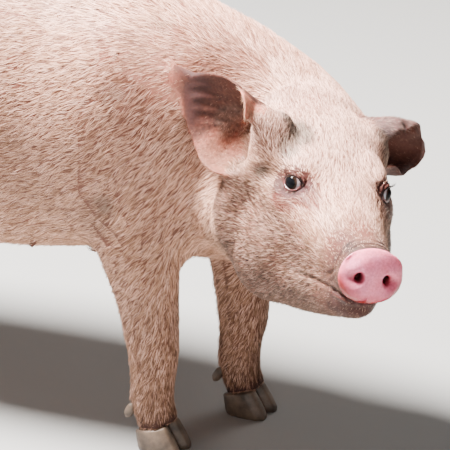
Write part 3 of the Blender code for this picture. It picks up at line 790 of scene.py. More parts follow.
skinColours = {
    "pink": (0.62, 0.2, 0.135), "pale": (0.76, 0.33, 0.23), "rosy": (0.16, 0.044, 0.035),
    "tan": (0.28, 0.11, 0.065), "grey": (0.06, 0.042, 0.036), "earDark": (0.044, 0.02, 0.016),
    "nose": (1.0, 0.28, 0.43), "noseRimAndShade": (0.31, 0.014, 0.02), "nostril": (0.05, 0.006, 0.006),
    "mouth": (0.06, 0.012, 0.01), "mudAndShade": (0.17, 0.088, 0.052), "lidEdge": (0.03, 0.012, 0.01),
    "muzzle": (0.04, 0.027, 0.025), "lip": (0.06, 0.024, 0.022), "waterLine": (0.16, 0.055, 0.055),
    "earLow": (0.17, 0.076, 0.052), "lid": (0.05, 0.015, 0.014), "earBack": (0.062, 0.055, 0.06),
    "earHollowShade": (0.125, 0.085, 0.07), "shade": (0.68, 0.56, 0.52),  # the last is what the coat takes away
}
# soft-edged markings and patches of painted shade: middle, radii, strength; those on the head are in its own
# frame
headGrey = [
    ((-0.176, -0.036, 0.072), (0.022, 0.018, 0.02), 1.0),
    ((-0.186, -0.047, 0.08), (0.015, 0.013, 0.018), 1.0),
    ((-0.16, -0.048, 0.062), (0.014, 0.013, 0.016), 0.9),
    ((-0.168, -0.064, 0.036), (0.012, 0.01, 0.013), 0.9),
    ((-0.14, -0.062, 0.036), (0.008, 0.01, 0.014), 0.6),
    ((-0.201, 0.064, 0.068), (0.018, 0.016, 0.022), 0.85),
    ((-0.146, -0.06, 0.046), (0.008, 0.01, 0.008), 0.5),
    ((-0.118, 0.052, 0.03), (0.02, 0.012, 0.02), 0.7),
    ((-0.085, 0.04, 0.012), (0.022, 0.01, 0.016), 0.6),
    ((-0.195, 0.066, 0.052), (0.02, 0.016, 0.02), 0.8),
    ((-0.21, -0.083, -0.058), (0.03, 0.022, 0.026), 0.35),
]
headRosy = [
    ((-0.11, -0.04, 0.034), (0.026, 0.016, 0.016), 1.0),
    ((-0.126, -0.053, 0.021), (0.026, 0.014, 0.012), 1.0),
    ((-0.128, 0.045, 0.03), (0.03, 0.016, 0.022), 0.6),
    ((-0.055, 0.0, 0.032), (0.03, 0.016, 0.012), 0.55),
    ((-0.04, -0.026, 0.014), (0.022, 0.012, 0.018), 0.55),
    ((-0.205, -0.06, 0.062), (0.03, 0.022, 0.03), 0.7),
    ((-0.225, -0.02, 0.1), (0.035, 0.04, 0.03), 0.45),
]
bodyGrey = [
    # the first three lie in the crease behind the shoulder and down to the elbow, painted shade; the rest are
    # grey markings
    ((0.163, -0.08, 0.284), (0.014, 0.014, 0.013), 0.8),
    ((0.15, -0.082, 0.262), (0.03, 0.02, 0.026), 0.25),
    ((0.175, -0.07, 0.402), (0.014, 0.014, 0.012), 0.45),
    ((0.205, -0.02, 0.462), (0.018, 0.014, 0.012), 0.4),
    ((-0.21, 0.12, 0.43), (0.06, 0.04, 0.05), 0.5),
    ((-0.33, -0.05, 0.44), (0.04, 0.035, 0.035), 0.45),
]
earTip = [
    ((-0.252, -0.13, 0.087), (0.034, 0.026, 0.026), 1.0),
    ((-0.245, -0.127, 0.064), (0.016, 0.014, 0.022), 1.0),
    ((-0.263, -0.136, 0.09), (0.018, 0.016, 0.02), 1.0),
    ((-0.252, -0.132, 0.074), (0.018, 0.016, 0.02), 1.0),
]
# painted shade at the bottom of the right ear's hollow
earHollowShade = [((-0.228, -0.089, 0.062), (0.018, 0.016, 0.02), 1.0)]
leftEarLow = [((-0.166, 0.116, 0.052), (0.012, 0.014, 0.024), 1.0)]


def earSide(side, points, normals):
    # 1 in the hollow of an ear, 0 on its back and on the rolled front edge at its root
    hollow = ease(normals @ (headTurn @ np.array(earFacing[side])), -0.42, 0.0)
    if side == "right":
        x, _, z = toHead(points).T
        return hollow * np.maximum(ease(x, -0.18, -0.19), ease(z, 0.06, 0.045))
    return hollow * (1 - ease(normals[:, 2], 0.1, 0.4) * ease(points[:, 2], 0.332, 0.345))


def earLow(side, local):
    # 1 in the pink lower part of an ear's hollow, 0 in the dark part above it
    if side == "right":
        return ease(local[:, 2] - 0.95 * (local[:, 1] + 0.1), 0.058, 0.04)
    return 0.75 * blobs(local, leftEarLow)


def skinTint(points, normals, share):
    # share holds how much of each region a point has, softly blended across the borders
    local = toHead(points)
    x, y, z = local.T
    height = points[:, 2]
    drift, patchy = ripple(points, 30, 3), ripple(points, 75, 5)
    head = wholeHead(share)
    legs = share["lower"] + share["foot"] + 0.5 * share["upper"]
    colours = paint(np.tile(skinColours["pink"], (len(points), 1)), skinColours, [
        ("pale", 0.3 + 0.4 * drift),
        ("rosy", 0.22 * ease(patchy, 0.0, 1.0)),
        # darker and duller lower down the body, painted shade under it; darker down the legs, partly mud
        # stains and partly painted shade
        ("tan", 0.4 * ease(height, 0.34, 0.2) * (1 - share["head"])),
        ("mudAndShade", legs * (0.45 + 0.35 * patchy) * ease(height, 0.26, 0.1)),
        ("mouth", share["foot"] * ease(height, 0.042, 0.032)),
        # grey markings, and painted shade in the crease behind the shoulder
        ("grey", blobs(points, bodyGrey) * (0.75 + 0.25 * patchy)),
    ])
    # under the thick of the coat the skin lies in its shade
    colours = colours * (1 - np.array(skinColours["shade"]) * np.clip(1 - share["ear"], 0, 1)[:, None])
    onFace = np.clip(head + share["neck"] + share["ear"], 0, 1)
    colours = paint(colours, skinColours, [
        ("grey", blobs(local, headGrey) * onFace * (0.8 + 0.2 * patchy)),
        ("rosy", blobs(local, headRosy) * onFace),
    ])
    # ears: greyish backs, and a dark hollow that turns pink towards its lower edge, with painted shade at the
    # bottom of the right ear's hollow
    for side, sign in sides.items():
        isEar = share["ear"] * (sign * y > 0)
        hollow, low = earSide(side, points, normals), earLow(side, local)
        back, inner = (0.15, blobs(local, earHollowShade)) if side == "right" else (0.85, 0 * low)
        colours = paint(colours, skinColours, [
            ("earBack", isEar * (1 - hollow) * back),
            ("earLow", 0.9 * isEar * hollow * low),
            ("earDark", 0.94 * isEar * hollow * (1 - low)),
            ("earHollowShade", 0.85 * isEar * hollow * inner),
        ])
        speckle = 0.35 * ripple(points, 1700, 61) + 0.25 * ripple(points, 700, 63)
        colours = colours * (1 + speckle * isEar * hollow)[:, None]
        colours = mix(colours, skinColours["earDark"], 0.85 * isEar * blobs(local, earTip))
    # muzzle, mouth, nose pad and nostrils
    bridge = 0.65 * ease(np.abs(y), 0.016, 0.004) * (z > 0) * ease(x, -0.02, -0.03)
    aroundNose = head * ease(x, -0.064, -0.032) * (1 - bridge)
    mouthWay = head * ease(x, -0.06, -0.02) * np.exp(-(((z + 0.0305) / 0.005) ** 2))
    pad = ease(x, -0.012, -0.0085) * (z > -0.03) * (np.abs(y) < 0.04)
    reach = np.sqrt((y / 0.031) ** 2 + (z / 0.027) ** 2)
    # the pad darker over its lower half and round its rolled rim: partly the rim's own deeper red and partly
    # painted shade
    rim = 0.88 * ease(reach, 0.4, 1.0) * ease(z, 0.01, -0.014) + 0.3 * ease(reach, 0.8, 1.05)
    colours = paint(colours, skinColours, [
        ("muzzle", aroundNose * (0.72 + 0.28 * ripple(points, 300, 31))),
        ("lip", 0.8 * head * ease(x, -0.045, -0.025) * ease(z, -0.026, -0.032)),
        # painted shade: a dark line along the groove of the closed mouth
        ("mouth", mouthWay * np.exp(-(((z + 0.029) / 0.0022) ** 2))),
        ("nose", pad),
        ("noseRimAndShade", pad * rim),
    ])
    # painted shade in the funnels and down the holes of the nostrils
    for sign in (-1, 1):
        outward = sign * y - noseForm["nostrilOut"]
        above = (z - noseForm["nostrilUp"]) / noseForm["nostrilTall"]
        hole = np.sqrt((outward / noseForm["nostrilWide"])**2 + above**2)
        funnel = np.hypot((outward - 0.0035) / 0.0095, (z + 0.0015) / 0.0065)
        colours = paint(colours, skinColours, [
            ("noseRimAndShade", pad * 0.55 * ease(funnel, 1.0, 0.3)),
            ("noseRimAndShade", pad * 0.6 * ease(hole, 1.7, 1.1)),
            ("nostril", pad * ease(hole, 1.15, 0.8) * ease(x, 0.001, -0.0022)),
        ])
    # wet lower rims and dark lash lines of the eyes
    for side in sides:
        spot, reach = fromEye(points, side)
        close = (np.linalg.norm(spot, axis=1) < 0.03) & (spot[:, 0] > 0)
        upper = ease(spot[:, 2], -0.003, 0.002)
        colours = paint(colours, skinColours, [
            ("lid", 0.8 * close * ease(reach, 3.3, 1.9)),
            ("lidEdge", 0.9 * close * ease(reach, 1.34, 1.12) * (0.6 + 0.4 * upper)),
            ("waterLine", close * ease(reach, 1.13, 1.07) * (1 - upper)),
        ])
    return np.clip(colours, 0.02, 1)


coatForm = {
    # tufts to a square centimetre, length, width, and lift off the skin in degrees
    "density": {"trunk": 28.5, "neck": 32, "upper": 35, "lower": 44, "foot": 44, "head": 62,
                "snout_disc": 0, "ear": 36, "tail": 34, "eye": 0},
    "length": {"trunk": 0.0108, "neck": 0.0106, "upper": 0.0104, "lower": 0.009, "foot": 0.007,
               "head": 0.007, "snout_disc": 0.002, "ear": 0.0062, "tail": 0.0095, "eye": 0.003},
    "width": {"trunk": 0.00078, "neck": 0.00076, "upper": 0.0008, "lower": 0.00078, "foot": 0.00065,
              "head": 0.00058, "snout_disc": 0.0003, "ear": 0.0004, "tail": 0.0005, "eye": 0.0003},
    "lift": {"trunk": 11, "neck": 13, "upper": 12, "lower": 13, "foot": 16,
             "head": 13, "snout_disc": 10, "ear": 16, "tail": 16, "eye": 14},
    "blend": 14,  # how softly one region turns into the next
    "perPiece": {"straight": 45000, "bent": 18000},
}
coatColours = {
    "cream": (0.88, 0.47, 0.33), "white": (1.0, 0.6, 0.475), "straw": (0.48, 0.265, 0.15),
    "grey": (0.205, 0.158, 0.125), "brown": (0.13, 0.062, 0.032), "earDark": (0.1, 0.038, 0.022),
    "earLow": (0.28, 0.11, 0.055), "rosy": (0.17, 0.06, 0.046), "earBack": (0.095, 0.086, 0.088),
    "crown": (0.54, 0.67, 0.67),  # what the darker crown of the neck takes away
}


def coatTint(points, normals, share):
    local = toHead(points)
    height, slope = points[:, 2], local[:, 2] + 0.25 * local[:, 0]
    drift, patchy = ripple(points, 30, 3), ripple(points, 75, 5)
    head = wholeHead(share)
    # whiter coat on top of the head; below it the coat turns golden straw and is darkened, partly the hair's
    # own colour and partly painted shade on the lower face
    pale, cheek = head * ease(slope, 0.0, 0.03), head * ease(slope, 0.004, -0.03)
    colours = paint(np.tile(coatColours["cream"], (len(points), 1)), coatColours, [
        ("white", 0.85 * pale),
        ("straw", 0.25 + 0.25 * drift - 0.5 * pale),
        ("straw", 0.8 * cheek),
    ])
    colours = colours * (1 - 0.7 * cheek - 0.12 * head)[:, None]
    colours = mix(colours, coatColours["rosy"], 0.85 * blobs(local, headRosy) * head)
    crown = share["neck"] * ease(height, 0.34, 0.42)
    colours = colours * (1 - crown[:, None] * np.array(coatColours["crown"]))
    aroundNose = head * ease(local[:, 0], -0.085, -0.035)
    colours = paint(colours, coatColours, [
        ("brown", 0.75 * aroundNose),
        # the coat darker straw lower down the body: painted shade under it
        ("straw", 0.45 * ease(height, 0.36, 0.2) * (1 - head)),
    ])
    # painted shade: the coat on the side-facing upper flank behind the shoulder is darkened
    flank = share["trunk"] * ease(np.abs(normals[:, 1]), 0.45, 0.85) * ease(points[:, 0], 0.14, 0.04)
    colours = colours * (1 - 0.28 * flank * ease(height, 0.28, 0.34))[:, None]
    legs = share["lower"] + share["foot"] + 0.5 * share["upper"]
    onFace = np.clip(head + share["neck"] + share["ear"], 0, 1)
    colours = paint(colours, coatColours, [
        # browner coat down the legs: partly the hair's own colour and partly painted shade
        ("brown", legs * (0.78 + 0.22 * patchy) * ease(height, 0.28, 0.12)),
        # grey markings, and painted shade in the crease behind the shoulder
        ("grey", blobs(points, bodyGrey) * 0.85),
        ("grey", blobs(local, headGrey) * onFace * 0.95),
    ])
    for side, sign in sides.items():
        isEar = share["ear"] * (sign * local[:, 1] > 0)
        hollow, low = earSide(side, points, normals), earLow(side, local)
        back = 0.9 if side == "left" else 0.0
        colours = paint(colours, coatColours, [
            ("earDark", 0.6 * isEar * hollow * (1 - low)),
            ("earLow", 0.85 * isEar * hollow * low),
            ("earBack", back * isEar * (1 - hollow)),
            ("earDark", 0.7 * isEar * blobs(local, earTip)),
        ])
    return np.clip(colours, 0.02, 1)


def lieOfCoat(points, normals, share, numbers):
    # the way each tuft points, before it is laid on the surface
    local = toHead(points)
    forward, _, up = headTurn.T
    ways = np.zeros_like(points)
    flank = np.abs(normals[:, 1:2])
    ways += share["trunk"][:, None] * (np.array((-1.0, 0, -0.1)) + flank * np.array((0.05, 0, -0.34)))
    ways += share["neck"][:, None] * (np.array((-1.0, 0, -0.3)) + flank * np.array((0.2, 0, -0.45)))
    ways += share["upper"][:, None] * np.array((-0.95, 0, -0.42))
    ways += share["lower"][:, None] * np.array((-0.62, 0, -0.78))
    ways += share["foot"][:, None] * np.array((0.1, 0, -1.0))
    ways += share["tail"][:, None] * np.array((-1.0, 0, -0.4))
    # the head's runs back from the nose, downward on the cheeks and outward below the poll
    cheek = ease(-local[:, 2], -0.03, 0.05)[:, None]
    headWay = -forward + cheek * (-0.45 * up) + (1 - cheek) * 0.25 * up
    head = wholeHead(share)[:, None]
    ways += head * headWay
    for middle in eyeMiddles.values():
        away = points - middle
        far = np.linalg.norm(away, axis=1)
        near = ease(far, 0.036, 0.016)[:, None] * head
        ways += near * 1.1 * unit(away)
    for number in earNodes:
        mine = numbers == number
        middle = points[mine].mean(axis=0)
        along = np.linalg.svd(points[mine] - middle, full_matrices=False)[2][0]
        along = along * np.sign(along @ (middle - np.array(fromHead((-0.19, 0, 0.03)))))
        ways[mine] = along + 0.35 * unit(points[mine] - middle)
    return unit(ways)


def layFlat(ways, normals):
    return unit(ways - normals * (ways * normals).sum(axis=1, keepdims=True))


points, edges = readMesh(skin.data)
normals = readNormals(skin.data)
nodeNumbers = nodesAt(points)
# the tip of the right ear lies close over the neck, which keeps its own coat there
neckTree = BVHTree.FromBMesh(mergedCopy("neck"))
onRightEar = nodeNumbers == formNodes.index("ear_right")
for number in np.flatnonzero(onRightEar & (toHead(points)[:, 0] < -0.235)):
    if neckTree.find_nearest(points[number].tolist(), 0.0048)[0] is not None:
        nodeNumbers[number] = formNodes.index("neck")
regionOfNode = np.array([regions.index(regionOf(node)) for node in formNodes])
ownRegion = np.eye(len(regions))[regionOfNode[nodeNumbers]]
regionShare = spread(ownRegion, edges, coatForm["blend"])
share = {region: regionShare[:, number] for number, region in enumerate(regions)}
report("sorted the skin into regions")


def wetness(points, share):
    # 1 on the nose pad, the lips and the rims of the eyes, for their gloss
    x, _, z = toHead(points).T
    head = wholeHead(share)
    wet = head * ease(x, -0.014, -0.0095) * (z > -0.03)
    wet = np.maximum(wet, 0.5 * head * ease(x, -0.04, -0.02) * np.exp(-(((z + 0.031) / 0.004) ** 2)))
    for side in sides:
        spot, reach = fromEye(points, side)
        close = (np.linalg.norm(spot, axis=1) < 0.016) & (spot[:, 0] > 0)
        wet = np.maximum(wet, close * ease(reach, 1.25, 1.1))
    return wet


def addColours(mesh, name, colours, last=1.0):
    attribute = mesh.color_attributes.new(name, "FLOAT_COLOR", "POINT")
    full = np.empty((len(mesh.vertices), 4), np.float32)
    full[:, :3] = colours
    full[:, 3] = last
    attribute.data.foreach_set("color", full.ravel())


addColours(skin.data, "tint", skinTint(points, normals, share), wetness(points, share))


def unwrapSkin():
    # flat islands of the skin's own shape, for the coat's map
    skin.data.uv_layers.new(name="OFBake")
    bpy.context.view_layer.objects.active = skin
    skin.select_set(True)
    bpy.ops.object.mode_set(mode="EDIT")
    bpy.ops.mesh.select_all(action="SELECT")
    bpy.ops.uv.smart_project(angle_limit=math.radians(72), island_margin=0.002)
    bpy.ops.object.mode_set(mode="OBJECT")
    skin.select_set(False)
    places = np.empty(len(skin.data.loops) * 2, np.float32)
    skin.data.uv_layers["OFBake"].data.foreach_get("uv", places)
    return places.reshape(-1, 2).astype(float)


skinMap = unwrapSkin()
report("unwrapped the skin")


# ---- the coat: thin tufts rooted all over the skin

def atRoots(values, corners, weights):
    # a value of every vertex, read at the roots
    return (values[corners] * weights[..., None]).sum(axis=1)


def scatterRoots(points, corners, density):
    # each triangle gets tufts by its area, at random places on it
    a, b, c = (points[corners[:, number]] for number in range(3))
    area = np.linalg.norm(np.cross(b - a, c - a), axis=1) / 2
    wanted = area * 1e4 * density[corners].mean(axis=1)
    count = np.floor(wanted + rng.random(len(wanted))).astype(int)
    faces = np.repeat(np.arange(len(count)), count)
    first, second = rng.random((2, len(faces)))
    flip = first + second > 1
    first[flip], second[flip] = 1 - first[flip], 1 - second[flip]
    return faces, np.stack((1 - first - second, first, second), axis=1)


def overSkin(places, heights, low, high):
    # keeps each place between two heights over the skin, as shares of the height it is meant to have
    found = [skinTree.find_nearest(place) for place in places.tolist()]
    near = np.array([hit[0] for hit in found])
    facing = np.array([hit[1] for hit in found])
    above = ((places - near) * facing).sum(axis=1)
    kept = np.clip(above, low * heights, high * heights)
    return places + facing * (kept - above)[:, None]


tuftShape = {
    # a straight tuft has 4 faces and a bent one has 10: the rings' places along it, and widths there
    "straight": [(0.0, 1.0)],
    "bent": [(0.0, 1.0), (0.55, 0.72)],
    "thick": 0.9, "sunk": 0.00025,
    "least": 0.75, "most": 1.3,  # of the height over the skin that a tuft is meant to have
    # darker at the root, painted shade where the tufts overlap, and lighter at the tip
    "rootPaintedShade": 0.7, "tipShade": 1.12,
    "skinNormal": 0.72, "ownNormal": 0.28,  # shares in how a tuft is lit
    "mapHalfWidth": 0.0012, "mapHalfLength": 0.0015,
}


def growTufts(tufts, kind):
    # rings of three points and a tip for every tuft, as arrays of points and triangles
    roots, ways, normals = tufts["root"], tufts["way"], tufts["normal"]
    lengths, widths, lifts, bends = (tufts[name][:, None] for name in ("length", "width", "lift", "bend"))
    across = unit(np.cross(normals, ways))
    rings = tuftShape[kind]
    perTuft = 3 * len(rings) + 1
    points = np.empty((len(roots), perTuft, 3))
    rise, run = np.sin(lifts), np.cos(lifts)

    def along(part):
        # the middle line leaves at the lift's angle and then bends back towards the skin
        fall = bends * part**2
        climb = rise * part - fall * part * 0.5
        places = roots + lengths * (ways * (run * part) + normals * climb)
        if part == 0:
            return places
        held = overSkin(places, (lengths * climb)[:, 0], tuftShape["least"], tuftShape["most"])
        return np.where(tufts["free"][:, None], places, held)

    for number, (part, wide) in enumerate(rings):
        middle = along(part) - (normals * tuftShape["sunk"] if number == 0 else 0)
        half = widths * wide / 2
        points[:, 3 * number] = middle - across * half
        points[:, 3 * number + 1] = middle + across * half
        points[:, 3 * number + 2] = middle + normals * half * tuftShape["thick"]
    points[:, -1] = along(1.0)
    faces = [(0, 2, 1)]
    for number in range(len(rings) - 1):
        low, high = 3 * number, 3 * number + 3
        for one, two in ((0, 1), (1, 2), (2, 0)):
            faces += [(low + one, low + two, high + two), (low + one, high + two, high + one)]
    top, tip = 3 * len(rings) - 3, perTuft - 1
    faces += [(top, top + 1, tip), (top + 1, top + 2, tip), (top + 2, top, tip)]
    return points, np.array(faces)


def tuftPiece(name, points, faces, tufts):
    # one mesh of many tufts, with its colours, its map and soft normals
    total, perTuft = points.shape[:2]
    mesh = bpy.data.meshes.new(name)
    corners = (faces[None] + (np.arange(total) * perTuft)[:, None, None]).reshape(-1, 3)
    mesh.vertices.add(total * perTuft)
    mesh.vertices.foreach_set("co", points.reshape(-1).astype(np.float32))
    mesh.loops.add(corners.size)
    mesh.loops.foreach_set("vertex_index", corners.reshape(-1).astype(np.int32))
    mesh.polygons.add(len(corners))
    mesh.polygons.foreach_set("loop_start", np.arange(0, corners.size, 3, dtype=np.int32))
    mesh.update(calc_edges=True)
    mesh.shade_smooth()
    patch = np.zeros((perTuft, 2))
    patch[:, 1] = np.linspace(-tuftShape["mapHalfLength"], tuftShape["mapHalfLength"], perTuft)
    patch[0::3, 0] = -tuftShape["mapHalfWidth"]
    patch[1::3, 0] = tuftShape["mapHalfWidth"]
    patch[-1, 0] = 0
    layer = mesh.uv_layers.new(name="OFBake")
    flat = (tufts["map"][:, None] + patch[None]).reshape(-1, 2)
    layer.data.foreach_set("uv", np.clip(flat[corners.reshape(-1)], 0, 1).reshape(-1).astype(np.float32))
    # each tuft darker at its root, painted shade, and lighter at its tip
    shade = np.ones((1, perTuft, 1))
    shade[0, :3] = tuftShape["rootPaintedShade"]
    shade[0, -1] = tuftShape["tipShade"]
    addColours(mesh, "tint", (tufts["tint"][:, None] * shade).reshape(-1, 3))
    around = np.repeat(tufts["normal"][:, None], perTuft, axis=1).reshape(-1, 3)
    mixed = tuftShape["skinNormal"] * around + tuftShape["ownNormal"] * readNormals(mesh)
    mesh.normals_split_custom_set_from_vertices(unit(mixed).astype(np.float32))
    return addObject(name, mesh)


def addCoat(name, regionNames, kind):
    # every tuft whose root lies in these regions, in pieces small enough to keep
    mine = np.isin(tufts["region"], [regions.index(region) for region in regionNames])
    chosen = np.flatnonzero(mine & (tufts["kind"] == kind))
    most = coatForm["perPiece"][kind]
    pieces = []
    for start in range(0, len(chosen), most):
        pick = chosen[start:start + most]
        picked = {part: values[pick] for part, values in tufts.items()}
        piece = tuftPiece(f"coat_{name}_{start // most + 1}", *growTufts(picked, kind), picked)
        piece.data.materials.append(coatMaterial)
        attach(piece, "root")
        pieces.append(piece)
    return pieces


skinCorners, skinLoops = readTriangles(skin.data)
fieldOf = {}
for name in ("density", "length", "width", "lift"):
    table = np.array([coatForm[name][region] for region in regions], float)
    fieldOf[name] = regionShare @ table
local = toHead(points)
onHead = wholeHead(share)
# the hair grows short and thin over the muzzle and round the eyes, and none on the nose
muzzle = ease(local[:, 0], -0.07, -0.03) * (onHead > 0.3)
fieldOf["length"] *= 1 - 0.55 * muzzle
fieldOf["density"] *= 1 - 0.45 * muzzle
fieldOf["width"] *= 1 - 0.2 * muzzle
bare = (local[:, 0] > -0.0165) & (onHead > 0.3) & (local[:, 2] > -0.03)
fieldOf["density"][bare] = 0
for side in sides:
    spot, reach = fromEye(points, side)
    close = (np.linalg.norm(spot, axis=1) < 0.03) & (spot[:, 0] > 0)
    fieldOf["density"] *= np.where(close, 0.06 + 0.94 * ease(reach, 1.4, 2.4), 1)
    fieldOf["density"][close & (reach < 1.15)] = 0
    fieldOf["length"] *= np.where(close, 0.45 + 0.55 * ease(reach, 1.3, 3.2), 1)
# few hairs in the hollows of the ears, most of them in the lower part
for side, sign in sides.items():
    inHollow = share["ear"] * (sign * local[:, 1] > 0) * earSide(side, points, normals)
    fieldOf["density"] *= 1 - inHollow * (0.9 - (0.7 if side == "right" else 0) * earLow(side, local))
    fieldOf["width"] *= 1 - 0.35 * inHollow
    fieldOf["length"] *= 1 - 0.35 * inHollow
    fieldOf["density"] *= 1 - 0.7 * share["ear"] * blobs(local, earTip)
    fieldOf["lift"] *= 1 + 0.8 * inHollow
# a fringe hangs over the top of the claws
fringe = share["foot"] * ease(points[:, 2], 0.045, 0.03)
fieldOf["length"] *= 1 + 0.9 * fringe
fieldOf["density"] *= 1 + 1.6 * fringe
fieldOf["lift"] *= 1 + 0.5 * fringe
# longer along the crest, the belly, the throat and the backs of the legs
crest = ease(normals[:, 2], 0.72, 0.97) * ease(points[:, 0], 0.02, 0.16) * (share["trunk"] + share["neck"])
under = ease(-normals[:, 2], 0.25, 0.8) * (share["trunk"] + share["neck"] + 0.6 * onHead)
legRear = ease(-normals[:, 0], 0.35, 0.85) * (share["upper"] + share["lower"])
fieldOf["length"] *= 1 + 0.35 * crest + 0.45 * under + 0.45 * legRear
fieldOf["lift"] *= 1 + 0.55 * crest + 0.35 * under + 0.4 * legRear
ways = unit(spread(layFlat(lieOfCoat(points, normals, share, nodeNumbers), normals), edges, 24))
faces, weights = scatterRoots(points, skinCorners, fieldOf["density"])
rootCorners = skinCorners[faces]
roots = atRoots(points, rootCorners, weights)
rootNormals = unit(atRoots(normals, rootCorners, weights))
rootWays = layFlat(atRoots(ways, rootCorners, weights), rootNormals)
rootMap = (skinMap[skinLoops[faces]] * weights[..., None]).sum(axis=1)
numbers = nodeNumbers[rootCorners[:, 0]]
rootRegion = regionOfNode[numbers]
total = len(roots)
# on the thin ears and tail the tufts run free past the edge
rootFree = np.isin(rootRegion, [regions.index("ear"), regions.index("tail")])
skinTree = BVHTree.FromPolygons(points.tolist(), skinCorners.tolist())
report(f"rooted {total} tufts")
scatter = {name: atRoots(fieldOf[name][:, None], rootCorners, weights)[:, 0] for name in fieldOf}
rootLength = scatter["length"] * rng.uniform(0.62, 1.25, total)


def gatherLocks(perLock):
    # the root that each tuft's lock gathers round
    leaders = np.flatnonzero(rng.random(total) < 1 / perLock)
    tree = KDTree(len(leaders))
    for number, place in zip(leaders.tolist(), roots[leaders].tolist()):
        tree.insert(place, number)
    tree.balance()
    return np.array([tree.find(place)[1] for place in roots.tolist()])


# neighbours lean together, and the tufts of a lock draw in towards its tip
lockOf = gatherLocks(3.0)
clump = 0.2 * ripple(roots, 95, 21) + 0.14 * ripple(roots, 260, 22) + rng.normal(0, 0.17, total)[lockOf]
stray = clump + rng.normal(0, 0.08, total)
sideways = np.cross(rootNormals, rootWays)
rootWays = unit(rootWays * np.cos(stray)[:, None] + sideways * np.sin(stray)[:, None])
lockTip = roots[lockOf] + rootWays[lockOf] * (1.1 * scatter["length"])[lockOf][:, None]
rootWays = unit(0.68 * rootWays + 0.32 * unit(lockTip - roots))
rootWays = layFlat(rootWays, rootNormals)
report("gathered the tufts into locks")
rootWidth = scatter["width"] * rng.uniform(0.75, 1.3, total)
rootLift = np.radians(scatter["lift"] * rng.uniform(0.45, 1.5, total) * (1 + 0.3 * ripple(roots, 140, 23)))
rootBend = np.sin(rootLift) * rng.uniform(0.5, 1.3, total)
rootShare = {region: values[rootCorners[:, 0]] for region, values in share.items()}
rootTint = coatTint(roots, rootNormals, rootShare)
# some tufts are nearly white and some brown, and neighbours drift together
luck = 0.36 * rng.random(total)[lockOf] + 0.64 * rng.random(total)
luck = luck + 0.06 * ripple(roots, 230, 24) + 0.05 * ripple(roots, 480, 25)
rootLocal = toHead(roots)
# fewer white tufts on grey markings, rosy patches, the neck's crown and the ears, and with painted shade in
# the crease behind the shoulder, on the lower face and down the legs, which are also browner
cheekRoots = (rootShare["head"] > 0.5) * ease(rootLocal[:, 2] + 0.25 * rootLocal[:, 0], 0.01, -0.025)
dusky = np.maximum(blobs(roots, bodyGrey), blobs(rootLocal, headGrey))
dusky = np.maximum(dusky, np.maximum(0.8 * blobs(rootLocal, headRosy), 0.6 * cheekRoots))
dusky = np.maximum(dusky, 0.55 * rootShare["neck"] * ease(roots[:, 2], 0.34, 0.42))
dusky = np.maximum(dusky, 0.8 * rootShare["ear"])
dusky = np.maximum(dusky, 0.5 * (rootShare["lower"] + rootShare["foot"]))
rootTint = mix(rootTint, coatColours["white"], 0.75 * ease(luck, 0.5, 0.8) * (1 - 0.8 * dusky))
rootTint = rootTint * (1 - 0.6 * ease(luck, 0.5, 0.16))[:, None] ** np.array((0.9, 1.0, 1.1))
rootTint = np.clip(rootTint * (1 + rng.normal(0, 0.08, total))[:, None], 0.02, 1)
shaggy = atRoots((crest + under + legRear)[:, None], rootCorners, weights)[:, 0]
bentChance = 0.01 + 0.3 * np.clip(shaggy, 0, 1)
rootKind = np.where(rng.random(total) < bentChance, "bent", "straight")
tufts = {"root": roots, "way": rootWays, "normal": rootNormals, "length": rootLength, "width": rootWidth,
         "lift": rootLift, "bend": rootBend, "free": rootFree, "tint": rootTint, "map": rootMap,
         "region": rootRegion, "kind": rootKind}

lashForm = {"upper": 46, "lower": 16, "length": 0.0078, "lowerShare": 0.6, "width": 0.00042,
            "halfSpan": 0.009, "colour": (0.03, 0.018, 0.013)}


def addLashes():
    # lashes along the lids, rooted on the skin like any other tuft
    loopOf = np.zeros(len(points), int)
    loopOf[skinCorners.ravel()] = skinLoops.ravel()
    for side in sides:
        axes = eyeFrame(side)[0]
        spot, reach = fromEye(points, side)
        edge = (spot[:, 0] > 0) & (reach > 1.1) & (reach < 1.24)
        edge &= np.abs(spot[:, 1]) < lashForm["halfSpan"]
        for count, sign in ((lashForm["upper"], 1), (lashForm["lower"], -1)):
            own = np.flatnonzero(edge & (sign * spot[:, 2] > 0.003))
            own = rng.choice(own, min(count, len(own)), replace=False)
            fan = spot[own, 1] / lashForm["halfSpan"]
            ways = axes[:, 0] * 0.8 + axes[:, 2] * 0.55 * sign + axes[:, 1] * (0.5 * fan - 0.15)[:, None]
            ways = unit(ways + rng.normal(0, 0.1, (len(own), 3)))
            facing = unit(np.cross(ways, axes[:, 1]) * sign)
            facing *= -np.sign(facing @ axes[:, 2] * sign)[:, None]
            size = lashForm["length"] * (1.0 if sign > 0 else lashForm["lowerShare"])
            lashes = {
                "root": points[own], "way": ways, "normal": facing, "map": skinMap[loopOf[own]],
                "length": size * rng.uniform(0.7, 1.1, len(own)),
                "bend": rng.uniform(0.3, 0.7, len(own)),
                "tint": np.tile(lashForm["colour"], (len(own), 1)),
            }
            same = {"width": lashForm["width"], "lift": 0.0, "region": regions.index("head"), "free": True,
                    "kind": "bent"}
            lashes.update({part: np.full(len(own), value) for part, value in same.items()})
            for part, values in lashes.items():
                tufts[part] = np.concatenate((tufts[part], values))


addLashes()


# ---- materials

def newMaterial(name, roughness):
    material = bpy.data.materials.new(name)
    material.use_nodes = True
    shader = material.node_tree.nodes["Principled BSDF"]
    shader.inputs["Roughness"].default_value = roughness
    return material, material.node_tree, shader


